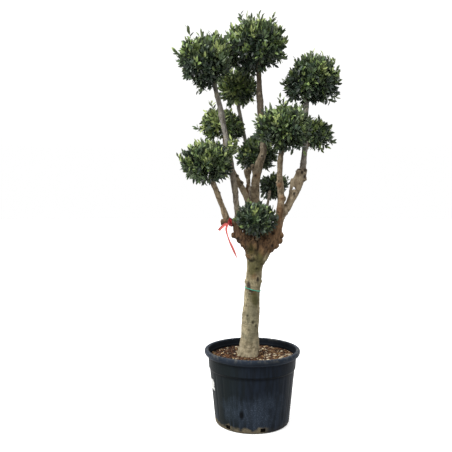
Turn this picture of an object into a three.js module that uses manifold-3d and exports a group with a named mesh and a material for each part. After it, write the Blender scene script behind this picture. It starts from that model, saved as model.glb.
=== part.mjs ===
// A potted olive tree clipped into eleven pompoms, standing in a black 110 litre nursery container.
// Millimetres, +Z up. The origin is the middle of the pot's flat underside, +X is to the viewer's
// right and +Y is away from the viewer, so the front of the plant faces -Y.
import * as THREE from 'three';
import { mergeVertices } from 'three/addons/utils/BufferGeometryUtils.js';
import Module from 'manifold-3d';

const wasm = await Module();
wasm.setup();

// Driving dimensions of the pot, its soil and the ties.
const gap = 0.3;
const potHeight = 494;
const rimRadius = 324;
const lipHeight = 34;
const lipRound = 8;
const mouthRadius = 297;
const collarDepth = 88;
const collarTopRadius = 300;
const collarStep = 6;
const footRadius = 250;
const footRound = 12;
const wall = 6;
const potSegments = 32;
const soilLevel = 445;
const slotCount = 6;
const slotWidth = 28;
const slotHeight = 18;
const slotMiddleHeight = 36;
const firstSlotAngle = 225.2;
const twineMiddle = [4, 0, 899];
const twineRadius = 55;
const twineDiameter = 7;
const twineTilt = 14;
const ribbonWidth = 16;
const ribbonThickness = 2;
const knotMiddle = [-152, -35, 1354];
const knotRadius = 26;
const knotWidth = 24;
const stumpLean = 80;

// Driving dimensions of the wood and the leaves.
const trunkSides = 12;
const boughSides = 8;
const snagSides = 6;
const limbStep = 80;
const sampleStep = 12;
const lumpiness = 0.035;
const flareReach = 0.3;
const flareHeight = 38;
const flareLobes = 5;
const coreShare = 0.76;
const coreLump = 0.03;
const shootSpacing = 158;
const stemStart = 0.97;
const stemDepth = 0.75;
const firstSeed = 11;
const leafPairs = 1;
const shootRoot = 0.35;
const shootDiameter = 13;
const shortestReach = 0.93;
const reachVariation = 0.1;
const leafLength = 64;
const leafWidth = 22;
const leafThickness = 3;
const leafReach = 0.6;
const tipLeafSink = 10;
const sideLeafSink = 2;
const tipStep = 4;
const pairStep = 22;
const alternateStep = 8;
const strayLeafShare = 0.85;
const leafSpread = 0.85;
const leafLift = 0.18;
const limbClearance = 11;
const spaceMargin = 0.05;
const spaceReach = 1.22;

// Each limb is a route of its middle line with the diameter at each point of it. The lobes are the
// swellings of the burl on top of the trunk, out of which the boughs grow, and a snag is the short
// stump of a limb that was sawn off.
const trunk = {
  name: 'trunk',
  limbs: [
    {
      route: [[-28, 0, 425], [-22, 0, 475], [-20, 0, 548], [-11, 0, 685], [-4, 0, 795], [8, 0, 958],
        [16, 0, 1040], [22, 2, 1096], [30, 5, 1145], [34, 8, 1190]],
      thick: [150, 130, 122, 115, 108, 101, 103, 122, 140, 110],
      sides: trunkSides,
      flare: flareReach,
    },
    { route: [[15, -2, 1095], [0, -6, 1165], [-45, -13, 1215], [-82, -20, 1262]], thick: [100, 90, 84, 74] },
    { route: [[32, -2, 1090], [70, -4, 1156], [116, -2, 1206], [150, 0, 1254]], thick: [108, 106, 100, 88] },
    { route: [[24, 12, 1095], [30, 34, 1165], [30, 48, 1228]], thick: [100, 104, 90] },
    { route: [[27, -2, 1130], [33, -8, 1190], [38, -14, 1242]], thick: [112, 112, 84] },
    { route: [[-98, -20, 1256], [-136, -24, 1262]], thick: [34, 26], sides: snagSides },
    { route: [[160, -2, 1256], [203, -6, 1268]], thick: [36, 26], sides: snagSides },
    { route: [[-8, -4, 954], [-47, -8, 962]], thick: [22, 14], sides: snagSides },
    { route: [[20, -4, 946], [62, -8, 954]], thick: [20, 12], sides: snagSides },
  ],
};

// The boughs, each listed after the limb that it grows from. Bough and pompom share their place in
// the crown by name; bough_right carries two of them and bough_middle_left one more.
const boughs = [
  {
    name: 'bough_top_left',
    limbs: [{
      route: [[-80, -20, 1245], [-97, -20, 1325], [-98, -10, 1395], [-105, 0, 1475], [-140, 18, 1710],
        [-165, 18, 1850], [-222, 0, 2140], [-256, -36, 2268]],
      thick: [70, 54, 43, 40, 37, 35, 33, 30],
    }],
  },
  {
    name: 'bough_middle_left',
    limbs: [
      {
        route: [[-22, 18, 1200], [-40, 30, 1290], [-24, 60, 1400], [-25, 80, 1490], [-55, 100, 1570],
          [-70, 115, 1625], [-95, 135, 1676], [-150, 160, 1795], [-183, 180, 1912]],
        thick: [62, 44, 48, 48, 46, 36, 28, 25, 22],
      },
      { route: [[-58, 106, 1590], [-82, 104, 1632]], thick: [34, 28], sides: snagSides },
      { route: [[-78, 120, 1640], [-112, 118, 1672]], thick: [30, 24], sides: snagSides },
    ],
  },
  {
    name: 'bough_top_centre',
    limbs: [
      {
        route: [[30, 46, 1200], [27, 60, 1400], [20, 50, 1555], [22, 36, 1610], [42, 20, 1725],
          [72, 14, 1805], [76, 14, 1905], [52, 34, 2095], [42, 48, 2180], [37, 50, 2362]],
        thick: [90, 64, 58, 57, 54, 47, 44, 42, 40, 34],
      },
      { route: [[22, 32, 1670], [0, 20, 1738]], thick: [38, 26], sides: snagSides },
    ],
  },
  {
    name: 'bough_right',
    limbs: [
      {
        route: [[148, 0, 1238], [170, 0, 1311], [184, 2, 1370], [214, 6, 1420], [246, 8, 1486],
          [281, 12, 1568], [316, 20, 1642], [338, 22, 1690]],
        thick: [88, 76, 66, 54, 60, 67, 72, 54],
      },
      { route: [[184, 0, 1366], [216, -6, 1384]], thick: [36, 26], sides: snagSides },
      { route: [[312, 10, 1650], [306, 4, 1700]], thick: [42, 34], sides: snagSides },
      { route: [[330, 26, 1640], [362, 24, 1652]], thick: [50, 38], sides: snagSides },
    ],
    hole: { middle: [277, 12, 1578], width: 11, height: 26, tilt: 22 },
  },
  {
    name: 'bough_top_right',
    limbs: [{
      route: [[338, 22, 1670], [344, 22, 1740], [348, 30, 1818], [360, 42, 2143], [365, 46, 2178]],
      thick: [42, 39, 36, 33, 31],
    }],
  },
  {
    name: 'bough_middle_right',
    limbs: [
      {
        route: [[178, -6, 1345], [184, -18, 1420], [193, -34, 1520], [180, -54, 1620], [177, -82, 1722],
          [187, -108, 1828]],
        thick: [52, 47, 44, 42, 37, 34],
      },
      { route: [[182, -52, 1606], [158, -60, 1622]], thick: [32, 22], sides: snagSides },
    ],
  },
  {
    name: 'bough_lower_left',
    limbs: [
      {
        route: [[-100, -20, 1343], [-142, -32, 1350], [-174, -42, 1366], [-185, -52, 1402],
          [-197, -60, 1446], [-217, -70, 1499], [-250, -85, 1578], [-269, -92, 1626]],
        thick: [46, 42, 40, 36, 34, 33, 31, 30],
      },
      { route: [[-168, -40, 1360], [-205, -46, 1350]], thick: [36, 32], sides: snagSides },
    ],
  },
  {
    name: 'bough_upper_back',
    limbs: [{
      route: [[27, 66, 1395], [4, 190, 1500], [-14, 300, 1620], [-22, 352, 1760], [-32, 346, 1930],
        [-60, 308, 2070], [-82, 282, 2184]],
      thick: [36, 31, 30, 28, 27, 26, 23],
    }],
  },
  {
    name: 'bough_middle_back',
    limbs: [{
      route: [[-34, 88, 1520], [-30, 106, 1590], [-18, 132, 1655], [-12, 156, 1722]],
      thick: [26, 23, 21, 20],
    }],
  },
  {
    name: 'bough_lower_right',
    limbs: [{
      route: [[66, 22, 1215], [84, 70, 1330], [100, 102, 1420], [112, 130, 1460], [135, 218, 1566]],
      thick: [36, 31, 28, 26, 20],
    }],
  },
  {
    name: 'bough_far_right',
    limbs: [{
      route: [[332, 30, 1664], [352, 84, 1750], [370, 136, 1838], [402, 190, 1902]],
      thick: [36, 31, 28, 25],
    }],
  },
];

// The pompoms: the middle of each ball, its width and height, and how far its stray shoots reach
// beyond the clipped ball, as offsets from its middle to the shoot's tip.
const pompoms = [
  { place: 'top_left', middle: [-322, -70, 2410], width: 342, height: 354,
    strays: [[-222, -10, 88], [-122, 20, 236], [-20, -60, 205], [60, 70, 190]] },
  { place: 'top_centre', middle: [35, 50, 2542], width: 392, height: 380,
    strays: [[-118, 0, 226], [-78, -40, 228], [118, 10, 226], [40, 90, 206], [138, -30, 168]] },
  { place: 'top_right', middle: [402, 50, 2321], width: 366, height: 326,
    strays: [[86, -20, 182], [204, 10, 26], [-206, 20, -40], [10, 90, 176]] },
  { place: 'upper_back', middle: [-99, 270, 2307], width: 272, height: 258, strays: [[-40, 90, 118]] },
  { place: 'middle_left', middle: [-210, 200, 2033], width: 290, height: 262,
    strays: [[-86, -20, 198], [-194, 0, -14], [30, 110, 110]] },
  { place: 'middle_right', middle: [202, -150, 1965], width: 360, height: 296,
    strays: [[-30, -20, 204], [-200, 0, 24], [70, -90, 132]] },
  { place: 'far_right', middle: [474, 250, 1976], width: 244, height: 230,
    strays: [[132, 10, -50], [60, 80, 100]] },
  { place: 'lower_left', middle: [-299, -100, 1751], width: 328, height: 268,
    strays: [[-216, -10, 38], [-60, 60, 150], [140, -60, 66]] },
  { place: 'middle_back', middle: [35, 190, 1821], width: 284, height: 248, strays: [[-40, -60, 128]] },
  { place: 'lower_right', middle: [171, 300, 1606], width: 212, height: 190, strays: [[80, 40, 80]] },
  { place: 'fork', middle: [18, -120, 1372], width: 268, height: 242,
    strays: [[-24, -30, 142], [110, -20, 60]] },
];
const forkStem = { route: [[36, -14, 1225], [30, -50, 1272], [20, -104, 1345]], diameter: 32 };

const colours = {
  blackPlastic: { color: '#20242a', roughness: 0.55 },
  pottingMix: { color: '#4a3222', roughness: 0.95 },
  trunkBark: { color: '#8f8469', roughness: 0.85 },
  boughBark: { color: '#7f6f58', roughness: 0.85 },
  oliveLeaf: { color: '#3f5a35', roughness: 0.55 },
  redRibbon: { color: '#d8322f', roughness: 0.5 },
  greenTwine: { color: '#2f8f7c', roughness: 0.7 },
};

const group = new THREE.Group();

function add(name, geometry, finish) {
  const mesh = new THREE.Mesh(geometry, new THREE.MeshStandardMaterial({ ...finish, metalness: 0 }));
  mesh.name = name;
  group.add(mesh);
}

// A small seeded generator of numbers from 0 to 1, so that the plant grows the same each time.
function seeded(seed) {
  let state = seed >>> 0;
  return () => {
    state = (state + 0x6d2b79f5) >>> 0;
    let mixed = Math.imul(state ^ (state >>> 15), state | 1);
    mixed = (mixed + Math.imul(mixed ^ (mixed >>> 7), mixed | 61)) ^ mixed;
    return ((mixed ^ (mixed >>> 14)) >>> 0) / 4294967296;
  };
}

// A closed geometry as a solid that can be joined and cut, and such a solid as a geometry again.
function solidOf(geometry) {
  const bare = geometry.clone();
  bare.deleteAttribute('normal');
  bare.deleteAttribute('uv');
  const merged = mergeVertices(bare, 1e-4);
  const vertProperties = new Float32Array(merged.attributes.position.array);
  const triVerts = new Uint32Array(merged.index.array);
  return new wasm.Manifold(new wasm.Mesh({ numProp: 3, vertProperties, triVerts }));
}

function geometryOf(solid) {
  const mesh = solid.getMesh();
  const geometry = new THREE.BufferGeometry();
  geometry.setAttribute('position', new THREE.BufferAttribute(mesh.vertProperties, 3));
  geometry.setIndex(new THREE.BufferAttribute(mesh.triVerts, 1));
  geometry.computeVertexNormals();
  return geometry;
}

// The one largest body of a solid: this drops loose scraps and fills hollows that joining sealed.
function largestOf(solid) {
  const bodies = solid.decompose();
  return bodies.reduce((best, body) => (body.volume() > best.volume() ? body : best));
}

function fused(solids) {
  return solids.reduce((whole, solid) => whole.add(solid));
}

// The diameter of a limb at a fraction of its length, read between the points of its route.
function diameterAt(limb, fraction) {
  const points = limb.route.map((point) => new THREE.Vector3(...point));
  const reached = [0];
  for (let i = 1; i < points.length; i += 1) {
    reached.push(reached[i - 1] + points[i].distanceTo(points[i - 1]));
  }
  const along = fraction * reached.at(-1);
  let next = 1;
  while (next < points.length - 1 && reached[next] < along) {
    next += 1;
  }
  const share = (along - reached[next - 1]) / (reached[next] - reached[next - 1]);
  return THREE.MathUtils.lerp(limb.thick[next - 1], limb.thick[next], Math.min(share, 1));
}

function curveOf(limb) {
  const points = limb.route.map((point) => new THREE.Vector3(...point));
  return new THREE.CatmullRomCurve3(points, false, 'centripetal');
}

// A round limb with a slightly lumpy skin: a cylinder whose rings are moved onto the route. It can
// be swollen by a clearance all over, to cut the seat of whatever grows out of it.
function limbSolid(limb, swell = 0) {
  const curve = curveOf(limb);
  const steps = Math.max(2, Math.round(curve.getLength() / limbStep));
  const frames = curve.computeFrenetFrames(steps, false);
  const geometry = new THREE.CylinderGeometry(1, 1, 1, limb.sides ?? boughSides, steps);
  const position = geometry.attributes.position;
  const bump = limb.sides === snagSides ? 0 : lumpiness;
  for (let i = 0; i < position.count; i += 1) {
    const station = Math.round((position.getY(i) + 0.5) * steps);
    const middle = curve.getPointAt(station / steps);
    const across = Math.hypot(position.getX(i), position.getZ(i));
    const angle = Math.atan2(position.getZ(i), position.getX(i));
    let radius = diameterAt(limb, station / steps) / 2;
    radius *= 1 + bump * Math.sin(2 * angle + 1.9 * station) + bump * Math.sin(3 * angle - 2.3 * station);
    if (limb.flare) {
      const height = Math.max(middle.z - soilLevel, 0);
      const lobe = 0.5 + 0.5 * Math.cos(flareLobes * angle);
      radius *= 1 + limb.flare * lobe * Math.exp(-height / flareHeight);
    }
    radius = (radius + swell) * across;
    const end = station === 0 ? -swell : station === steps ? swell : 0;
    middle.addScaledVector(frames.binormals[station], radius * Math.cos(angle));
    middle.addScaledVector(frames.normals[station], radius * Math.sin(angle));
    middle.addScaledVector(frames.tangents[station], end);
    position.setXYZ(i, middle.x, middle.y, middle.z);
  }
  return solidOf(geometry);
}

function woodSolid(wood, swell = 0) {
  return fused(wood.limbs.map((limb) => limbSolid(limb, swell)));
}

// The pot: a turned shell with a rolled lip, a plain collar with a step under it, a tapering body
// and a rounded foot, with a ring of drainage slots cut just above the foot.
const bodyTop = potHeight - lipHeight - collarDepth;
const collarFoot = collarTopRadius - collarStep;
const bodyTopRadius = collarFoot - collarStep;
const floorRadius = footRadius - wall;
const innerTop = potHeight - lipHeight;
const innerTopRadius = mouthRadius - 4;

function innerRadiusAt(height) {
  return THREE.MathUtils.mapLinear(height, wall, innerTop, floorRadius, innerTopRadius);
}

const potProfile = [
  [0, 0],
  [footRadius - footRound, 0],
  [footRadius, footRound],
  [bodyTopRadius, bodyTop - collarStep],
  [collarFoot, bodyTop],
  [collarTopRadius, innerTop - 4],
  [rimRadius - lipRound, innerTop],
  [rimRadius, innerTop + lipRound],
  [rimRadius, potHeight - lipRound],
  [rimRadius - lipRound, potHeight],
  [mouthRadius, potHeight],
  [innerTopRadius, innerTop],
  [floorRadius, wall],
  [0, wall],
];

// A profile of radius and height turned round the Z axis.
function turned(profile) {
  const geometry = new THREE.LatheGeometry(profile.map(([r, z]) => new THREE.Vector2(r, z)), potSegments);
  return solidOf(geometry.rotateX(Math.PI / 2));
}

let pot = turned(potProfile);
for (let i = 0; i < slotCount; i += 1) {
  const angle = THREE.MathUtils.degToRad(firstSlotAngle + (360 * i) / slotCount);
  const cutter = new THREE.BoxGeometry(6 * wall, slotWidth, slotHeight);
  cutter.translate(footRadius, 0, slotMiddleHeight);
  cutter.rotateZ(angle);
  pot = pot.subtract(solidOf(cutter));
}
add('pot', geometryOf(pot), colours.blackPlastic);

// The potting mix fills the pot to a hand's breadth under the lip.
const soil = turned([
  [0, wall + gap],
  [innerRadiusAt(wall) - 2 * gap, wall + gap],
  [innerRadiusAt(soilLevel) - 2 * gap, soilLevel],
  [0, soilLevel],
]);
add('soil', geometryOf(soil), colours.pottingMix);

// The trunk is cut flat where it leaves the soil.
const underground = new THREE.BoxGeometry(600, 600, 200).translate(0, 0, soilLevel + gap - 100);
const trunkSolid = largestOf(woodSolid(trunk).subtract(solidOf(underground)));
add('trunk', geometryOf(trunkSolid), colours.trunkBark);

// Each bough is cut clear of the limbs that were made before it.
const cutters = [woodSolid(trunk, gap)];
for (const bough of boughs) {
  let solid = woodSolid(bough);
  for (const cutter of cutters) {
    solid = solid.subtract(cutter);
  }
  if (bough.hole) {
    const { middle, width, height, tilt } = bough.hole;
    const drill = new THREE.CylinderGeometry(width / 2, width / 2, 200, snagSides);
    drill.scale(1, 1, height / width);
    drill.rotateY(THREE.MathUtils.degToRad(-tilt));
    drill.translate(...middle);
    solid = solid.subtract(solidOf(drill));
  }
  cutters.push(woodSolid(bough, gap));
  add(bough.name, geometryOf(largestOf(solid)), colours.boughBark);
}

// Points along every limb with the limb's radius there, for keeping the leaves off the wood.
const woodSamples = [trunk, ...boughs].flatMap((wood) => wood.limbs.flatMap((limb) => {
  const curve = curveOf(limb);
  const count = Math.ceil(curve.getLength() / sampleStep);
  return Array.from({ length: count + 1 }, (_, i) => ({
    point: curve.getPointAt(i / count),
    radius: diameterAt(limb, i / count) / 2,
  }));
}));

function clearOfWood(point, clearance) {
  return woodSamples.every((sample) => sample.point.distanceTo(point) > sample.radius + clearance);
}

// How far out a point lies in a pompom: 0 in its middle and 1 on the clipped ball.
function outness(pompom, point) {
  const [x, y, z] = pompom.middle;
  const across = Math.hypot(point.x - x, point.y - y) / (pompom.width / 2);
  return Math.hypot(across, (point.z - z) / (pompom.height / 2));
}

function inOwnSpace(pompom, point) {
  const own = outness(pompom, point);
  if (own > pompom.reach) {
    return false;
  }
  return pompoms.every((other) => other === pompom || own + spaceMargin < outness(other, point));
}

// A closed shape that points along +Y, turned to point from one place in a direction.
function aimed(geometry, from, direction, roll) {
  const turn = new THREE.Quaternion().setFromUnitVectors(new THREE.Vector3(0, 1, 0), direction);
  geometry.rotateY(roll);
  geometry.applyQuaternion(turn);
  geometry.translate(from.x, from.y, from.z);
  return solidOf(geometry);
}

// One leaf is a long diamond, thickest and widest in its middle, with its root sunk in the twig.
function leafSolid(root, direction, roll, sink) {
  const leaf = new THREE.OctahedronGeometry(0.5);
  leaf.scale(leafWidth, leafLength, leafThickness);
  leaf.translate(0, leafLength / 2 - sink, 0);
  return aimed(leaf, root, direction, roll);
}

// A three-sided twig that tapers from its root to a point.
function twigSolid(from, direction, length) {
  const twig = new THREE.ConeGeometry(shootDiameter / 2, length, 3);
  twig.translate(0, length / 2, 0);
  return aimed(twig, from, direction, 0);
}

// A leaf is kept when all of it stays in the pompom's own space and off the wood.
function leafFits(pompom, root, direction) {
  return [0.15, 0.5, 0.85].every((share) => {
    const point = root.clone().addScaledVector(direction, share * leafLength);
    return inOwnSpace(pompom, point) && clearOfWood(point, limbClearance);
  });
}

// One shoot runs from inside the core to its tip and carries a leaf at its end and opposite pairs
// of leaves below it, each pair turned a quarter from the last, as an olive does.
function growShoot(pompom, tip, random, solids) {
  const middle = new THREE.Vector3(...pompom.middle);
  const root = middle.clone().lerp(tip, shootRoot);
  const direction = tip.clone().sub(root).normalize();
  const length = tip.distanceTo(root);
  const side = new THREE.Vector3(-direction.y, direction.x, 0.01).normalize();
  const twist = random() * Math.PI;
  const leaves = [];
  for (let pair = 0; pair <= leafPairs; pair += 1) {
    const turns = pair === 0 ? [0] : [0, Math.PI];
    for (const turn of turns) {
      const back = tipStep + pairStep * pair + (turn > 0 ? alternateStep : 0);
      const place = tip.clone().addScaledVector(direction, -back);
      const spread = pair === 0 ? 0 : leafSpread;
      const outward = side.clone().applyAxisAngle(direction, twist + (pair * Math.PI) / 2 + turn);
      const aim = direction.clone().addScaledVector(outward, spread).normalize();
      aim.z += leafLift;
      aim.normalize();
      if (leafFits(pompom, place, aim)) {
        leaves.push(leafSolid(place, aim, random() * Math.PI, pair === 0 ? tipLeafSink : sideLeafSink));
      }
    }
  }
  const tipFits = inOwnSpace(pompom, tip) && clearOfWood(tip, limbClearance / 2);
  if (tipFits && leaves.length > 0) {
    solids.push(twigSolid(root, direction, length), ...leaves);
  }
}

// A clipped ball: a lumpy core round the end of the stem, with shoots spread evenly over it by the
// golden angle, and a few stray shoots that were missed by the shears.
function pompomSolid(pompom, stem, seed) {
  const random = seeded(seed);
  const middle = new THREE.Vector3(...pompom.middle);
  const radii = new THREE.Vector3(pompom.width / 2, pompom.width / 2, pompom.height / 2);
  const core = new THREE.IcosahedronGeometry(1, 1);
  const position = core.attributes.position;
  for (let i = 0; i < position.count; i += 1) {
    const point = new THREE.Vector3().fromBufferAttribute(position, i).normalize();
    const lump = 1 + coreLump * (Math.sin(4 * point.x + seed) + Math.sin(5 * point.y + 3 * point.z));
    point.multiplyScalar(coreShare * lump).multiply(radii).add(middle);
    position.setXYZ(i, point.x, point.y, point.z);
  }
  const solids = [solidOf(core), limbSolid(stem)];
  const meanRadius = (radii.x + radii.y + radii.z) / 3;
  const count = Math.round((4 * Math.PI * meanRadius ** 2) / shootSpacing ** 2);
  const goldenAngle = Math.PI * (3 - Math.sqrt(5));
  for (let i = 0; i < count; i += 1) {
    const rise = 1 - (2 * (i + 0.5)) / count;
    const ring = Math.sqrt(1 - rise * rise);
    const angle = i * goldenAngle + seed;
    const reach = shortestReach + reachVariation * random();
    const offset = new THREE.Vector3(ring * Math.cos(angle), ring * Math.sin(angle), rise);
    offset.multiply(radii).multiplyScalar(reach);
    offset.setLength(offset.length() - leafReach * leafLength);
    pompom.reach = spaceReach;
    growShoot(pompom, offset.add(middle), random, solids);
  }
  for (const stray of pompom.strays) {
    const offset = new THREE.Vector3(...stray);
    pompom.reach = outness(pompom, middle.clone().add(offset)) + spaceMargin;
    offset.setLength(offset.length() - strayLeafShare * leafLength);
    growShoot(pompom, offset.add(middle), random, solids);
  }
  return fused(solids);
}

// Each pompom's stem carries its bough on into the core and starts just clear of the bough's tip.
pompoms.forEach((pompom, i) => {
  const bough = boughs.find(({ name }) => name === `bough_${pompom.place}`);
  let stem = { route: forkStem.route, thick: forkStem.route.map(() => forkStem.diameter) };
  let seat = cutters[0];
  if (bough) {
    const tip = bough.limbs[0].route.at(-1);
    const inside = new THREE.Vector3(...tip).lerp(new THREE.Vector3(...pompom.middle), stemDepth);
    const before = curveOf(bough.limbs[0]).getPointAt(stemStart);
    const tipWidth = bough.limbs[0].thick.at(-1);
    stem = {
      route: [before.toArray(), tip, inside.toArray()],
      thick: [tipWidth * 0.94, tipWidth * 0.98, tipWidth * 0.7],
    };
    seat = cutters[boughs.indexOf(bough) + 1];
  }
  const solid = pompomSolid(pompom, stem, firstSeed + i).subtract(seat);
  add(`pompom_${pompom.place}`, geometryOf(largestOf(solid)), colours.oliveLeaf);
});

// A length of green twine left tied round the trunk, a little askew.
const twine = new THREE.TorusGeometry(twineRadius, twineDiameter / 2, 5, 16);
twine.rotateY(THREE.MathUtils.degToRad(twineTilt));
twine.translate(...twineMiddle);
add('trunk_twine', geometryOf(largestOf(solidOf(twine).subtract(cutters[0]))), colours.greenTwine);

// A red marker ribbon knotted round the stump of the lowest left bough, with a short and a long tail.
function tail(route) {
  const path = new THREE.CatmullRomCurve3(route.map((point) => new THREE.Vector3(...point)));
  const section = new THREE.Shape();
  section.moveTo(-ribbonThickness / 2, -ribbonWidth / 2);
  section.lineTo(ribbonThickness / 2, -ribbonWidth / 2);
  section.lineTo(ribbonThickness / 2, ribbonWidth / 2);
  section.lineTo(-ribbonThickness / 2, ribbonWidth / 2);
  const steps = 2 * (route.length - 1);
  return solidOf(new THREE.ExtrudeGeometry(section, { steps, bevelEnabled: false, extrudePath: path }));
}

const lowerLeft = boughs.findIndex(({ name }) => name === 'bough_lower_left');
const knot = new THREE.CylinderGeometry(knotRadius, knotRadius, knotWidth, 9);
knot.rotateZ(THREE.MathUtils.degToRad(stumpLean));
knot.translate(...knotMiddle);
const ribbon = fused([
  solidOf(knot),
  tail([[-164, -56, 1350], [-182, -66, 1336], [-202, -68, 1308]]),
  tail([[-160, -58, 1348], [-178, -68, 1300], [-158, -70, 1236], [-134, -70, 1180], [-104, -68, 1112]]),
]);
const ribbonCut = ribbon.subtract(cutters[lowerLeft + 1]);
add('marker_ribbon', geometryOf(largestOf(ribbonCut)), colours.redRibbon);

export default group;
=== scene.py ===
"""A potted olive tree clipped into eleven pompoms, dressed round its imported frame.

Metres, +Z up. The origin is the middle of the container's flat underside, and the front faces -Y.
"""
import math

import bmesh
import bpy
import numpy as np
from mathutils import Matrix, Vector, noise
from mathutils.bvhtree import BVHTree


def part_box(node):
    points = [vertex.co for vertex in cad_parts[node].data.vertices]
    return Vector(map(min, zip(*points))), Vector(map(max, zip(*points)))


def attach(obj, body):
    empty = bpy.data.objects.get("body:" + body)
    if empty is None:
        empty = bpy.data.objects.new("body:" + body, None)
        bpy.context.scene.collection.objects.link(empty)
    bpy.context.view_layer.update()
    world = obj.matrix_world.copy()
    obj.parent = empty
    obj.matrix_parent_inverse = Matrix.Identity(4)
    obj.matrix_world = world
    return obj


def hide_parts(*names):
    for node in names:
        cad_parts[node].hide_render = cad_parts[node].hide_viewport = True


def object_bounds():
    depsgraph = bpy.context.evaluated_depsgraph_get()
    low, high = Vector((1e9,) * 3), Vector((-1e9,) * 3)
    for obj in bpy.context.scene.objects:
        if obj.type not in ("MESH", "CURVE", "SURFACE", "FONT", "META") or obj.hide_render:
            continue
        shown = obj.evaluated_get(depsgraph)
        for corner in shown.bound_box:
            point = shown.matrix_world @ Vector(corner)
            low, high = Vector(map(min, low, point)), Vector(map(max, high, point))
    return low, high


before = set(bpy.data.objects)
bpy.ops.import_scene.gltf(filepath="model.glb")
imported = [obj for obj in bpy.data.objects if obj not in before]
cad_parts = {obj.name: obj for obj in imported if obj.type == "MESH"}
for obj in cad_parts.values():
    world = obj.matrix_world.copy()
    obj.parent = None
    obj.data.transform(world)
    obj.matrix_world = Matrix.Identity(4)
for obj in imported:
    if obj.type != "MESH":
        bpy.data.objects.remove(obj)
cad_box = [list(corner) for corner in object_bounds()]
scene = bpy.context.scene

# The camera stands some 3.7 metres in front of the plant, at chest height and a little to its left,
# and looks two degrees down.
camera_place = (-0.178, -3.743, 1.455)
camera_pitch = 1.99
sensor_width = 36
focal_length = 44.16
camera_data = bpy.data.cameras.new("camera")
camera_data.sensor_width = sensor_width
camera_data.lens = focal_length
camera = bpy.data.objects.new("camera", camera_data)
camera.location = camera_place
camera.rotation_euler = (math.radians(90 - camera_pitch), 0, 0)
scene.collection.objects.link(camera)
scene.camera = camera

# The studio: a wide white floor under an even bright sky, with one large soft lamp high on the left.
# The floor throws no light back, so the undersides of the balls stay as dark as they are outdoors.
floor_radius = 60
floor_sides = 96
floor_drop = 0.0005
floor_glow = 0.3
sky_strength = 1.0
zenith_gain = 0.45
below_strength = 0.06
horizon_fade = (-0.3, -0.06)
zenith_fade = (0.1, 1.0)
lamp_place = (-3.6, -2.4, 5.0)
lamp_aim = Vector((0, 0, 1.4))
lamp_size = 2.2
lamp_power = 330


def colour(code):
    """A plain colour code such as #3f5a35, as the shader's linear values."""
    shares = [int(code[i:i + 2], 16) / 255 for i in (1, 3, 5)]
    return (*[s / 12.92 if s <= 0.04045 else ((s + 0.055) / 1.055) ** 2.4 for s in shares], 1)


def give(tree, socket, value):
    """Wires a node's output, or sets a plain value, into a socket."""
    if isinstance(value, bpy.types.NodeSocket):
        tree.links.new(value, socket)
    else:
        socket.default_value = value


def add_node(tree, kind, sockets=(), **settings):
    """Adds a node, and wires or sets its sockets, which are given by name or number."""
    made = tree.nodes.new(kind)
    for name, value in settings.items():
        setattr(made, name, value)
    for socket, value in dict(sockets).items():
        give(tree, made.inputs[socket], value)
    return made


def spread(value, low, high, to_low=0.0, to_high=1.0):
    """Stretches the part of a value between low and high to run from one number to another."""
    sockets = {"Value": value, "From Min": low, "From Max": high, "To Min": to_low, "To Max": to_high}
    return add_node(value.id_data, "ShaderNodeMapRange", sockets).outputs[0]


def combined(operation, value, *others):
    for other in others:
        sockets = {0: value, 1: other}
        value = add_node(value.id_data, "ShaderNodeMath", sockets, operation=operation).outputs[0]
    return value


def total(*values):
    return combined("ADD", *values)


def product(*values):
    return combined("MULTIPLY", *values)


def mixed(share, first, second):
    """A mix of two tints, each a colour code, plain values or a node's output."""
    first, second = [colour(tint) if isinstance(tint, str) else tint for tint in (first, second)]
    sockets = {0: share, 6: first, 7: second}
    return add_node(share.id_data, "ShaderNodeMix", sockets, data_type="RGBA").outputs[2]


def new_material(name, roughness, gloss=0.5):
    material = bpy.data.materials.new(name)
    material.use_nodes = True
    paint(material, "Roughness", roughness)
    paint(material, "Specular IOR Level", gloss)
    return material


def paint(material, socket, value):
    """Wires or sets a socket of the material's own shader."""
    tree = material.node_tree
    give(tree, tree.nodes["Principled BSDF"].inputs[socket], value)


def own_place(material):
    """Where each point lies in the plant's own space."""
    return add_node(material.node_tree, "ShaderNodeTexCoord").outputs["Object"]


def pattern(material, scale, stretch=(1, 1, 1), detail=4.0):
    """Soft random noise from 0 to 1 in the plant's own space, so many cycles to the metre."""
    tree = material.node_tree
    mapping = {"Vector": own_place(material), "Scale": stretch}
    mapped = add_node(tree, "ShaderNodeMapping", mapping).outputs[0]
    sockets = {"Vector": mapped, "Scale": scale, "Detail": detail}
    return add_node(tree, "ShaderNodeTexNoise", sockets).outputs[0]


def bumped(material, height, depth):
    """Shades a surface as if the height pattern stood that deep on it."""
    bump = add_node(material.node_tree, "ShaderNodeBump", {"Height": height, "Distance": depth})
    paint(material, "Normal", bump.outputs[0])


def new_object(name, points, faces):
    mesh = bpy.data.meshes.new(name)
    mesh.from_pydata([tuple(point) for point in points], [], faces)
    made = bpy.data.objects.new(name, mesh)
    scene.collection.objects.link(made)
    return made


world = bpy.data.worlds.new("even_sky")
world.use_nodes = True
scene.world = world
sky = world.node_tree
direction = add_node(sky, "ShaderNodeTexCoord").outputs["Generated"]
upward = add_node(sky, "ShaderNodeSeparateXYZ", {0: direction}).outputs["Z"]
above = spread(upward, *horizon_fade, below_strength, sky_strength)
brighter = spread(upward, *zenith_fade, 0.0, zenith_gain)
give(sky, sky.nodes["Background"].inputs["Strength"], total(above, brighter))
give(sky, sky.nodes["Background"].inputs["Color"], (1, 1, 1, 1))
scene.view_settings.view_transform = "Standard"

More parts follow.
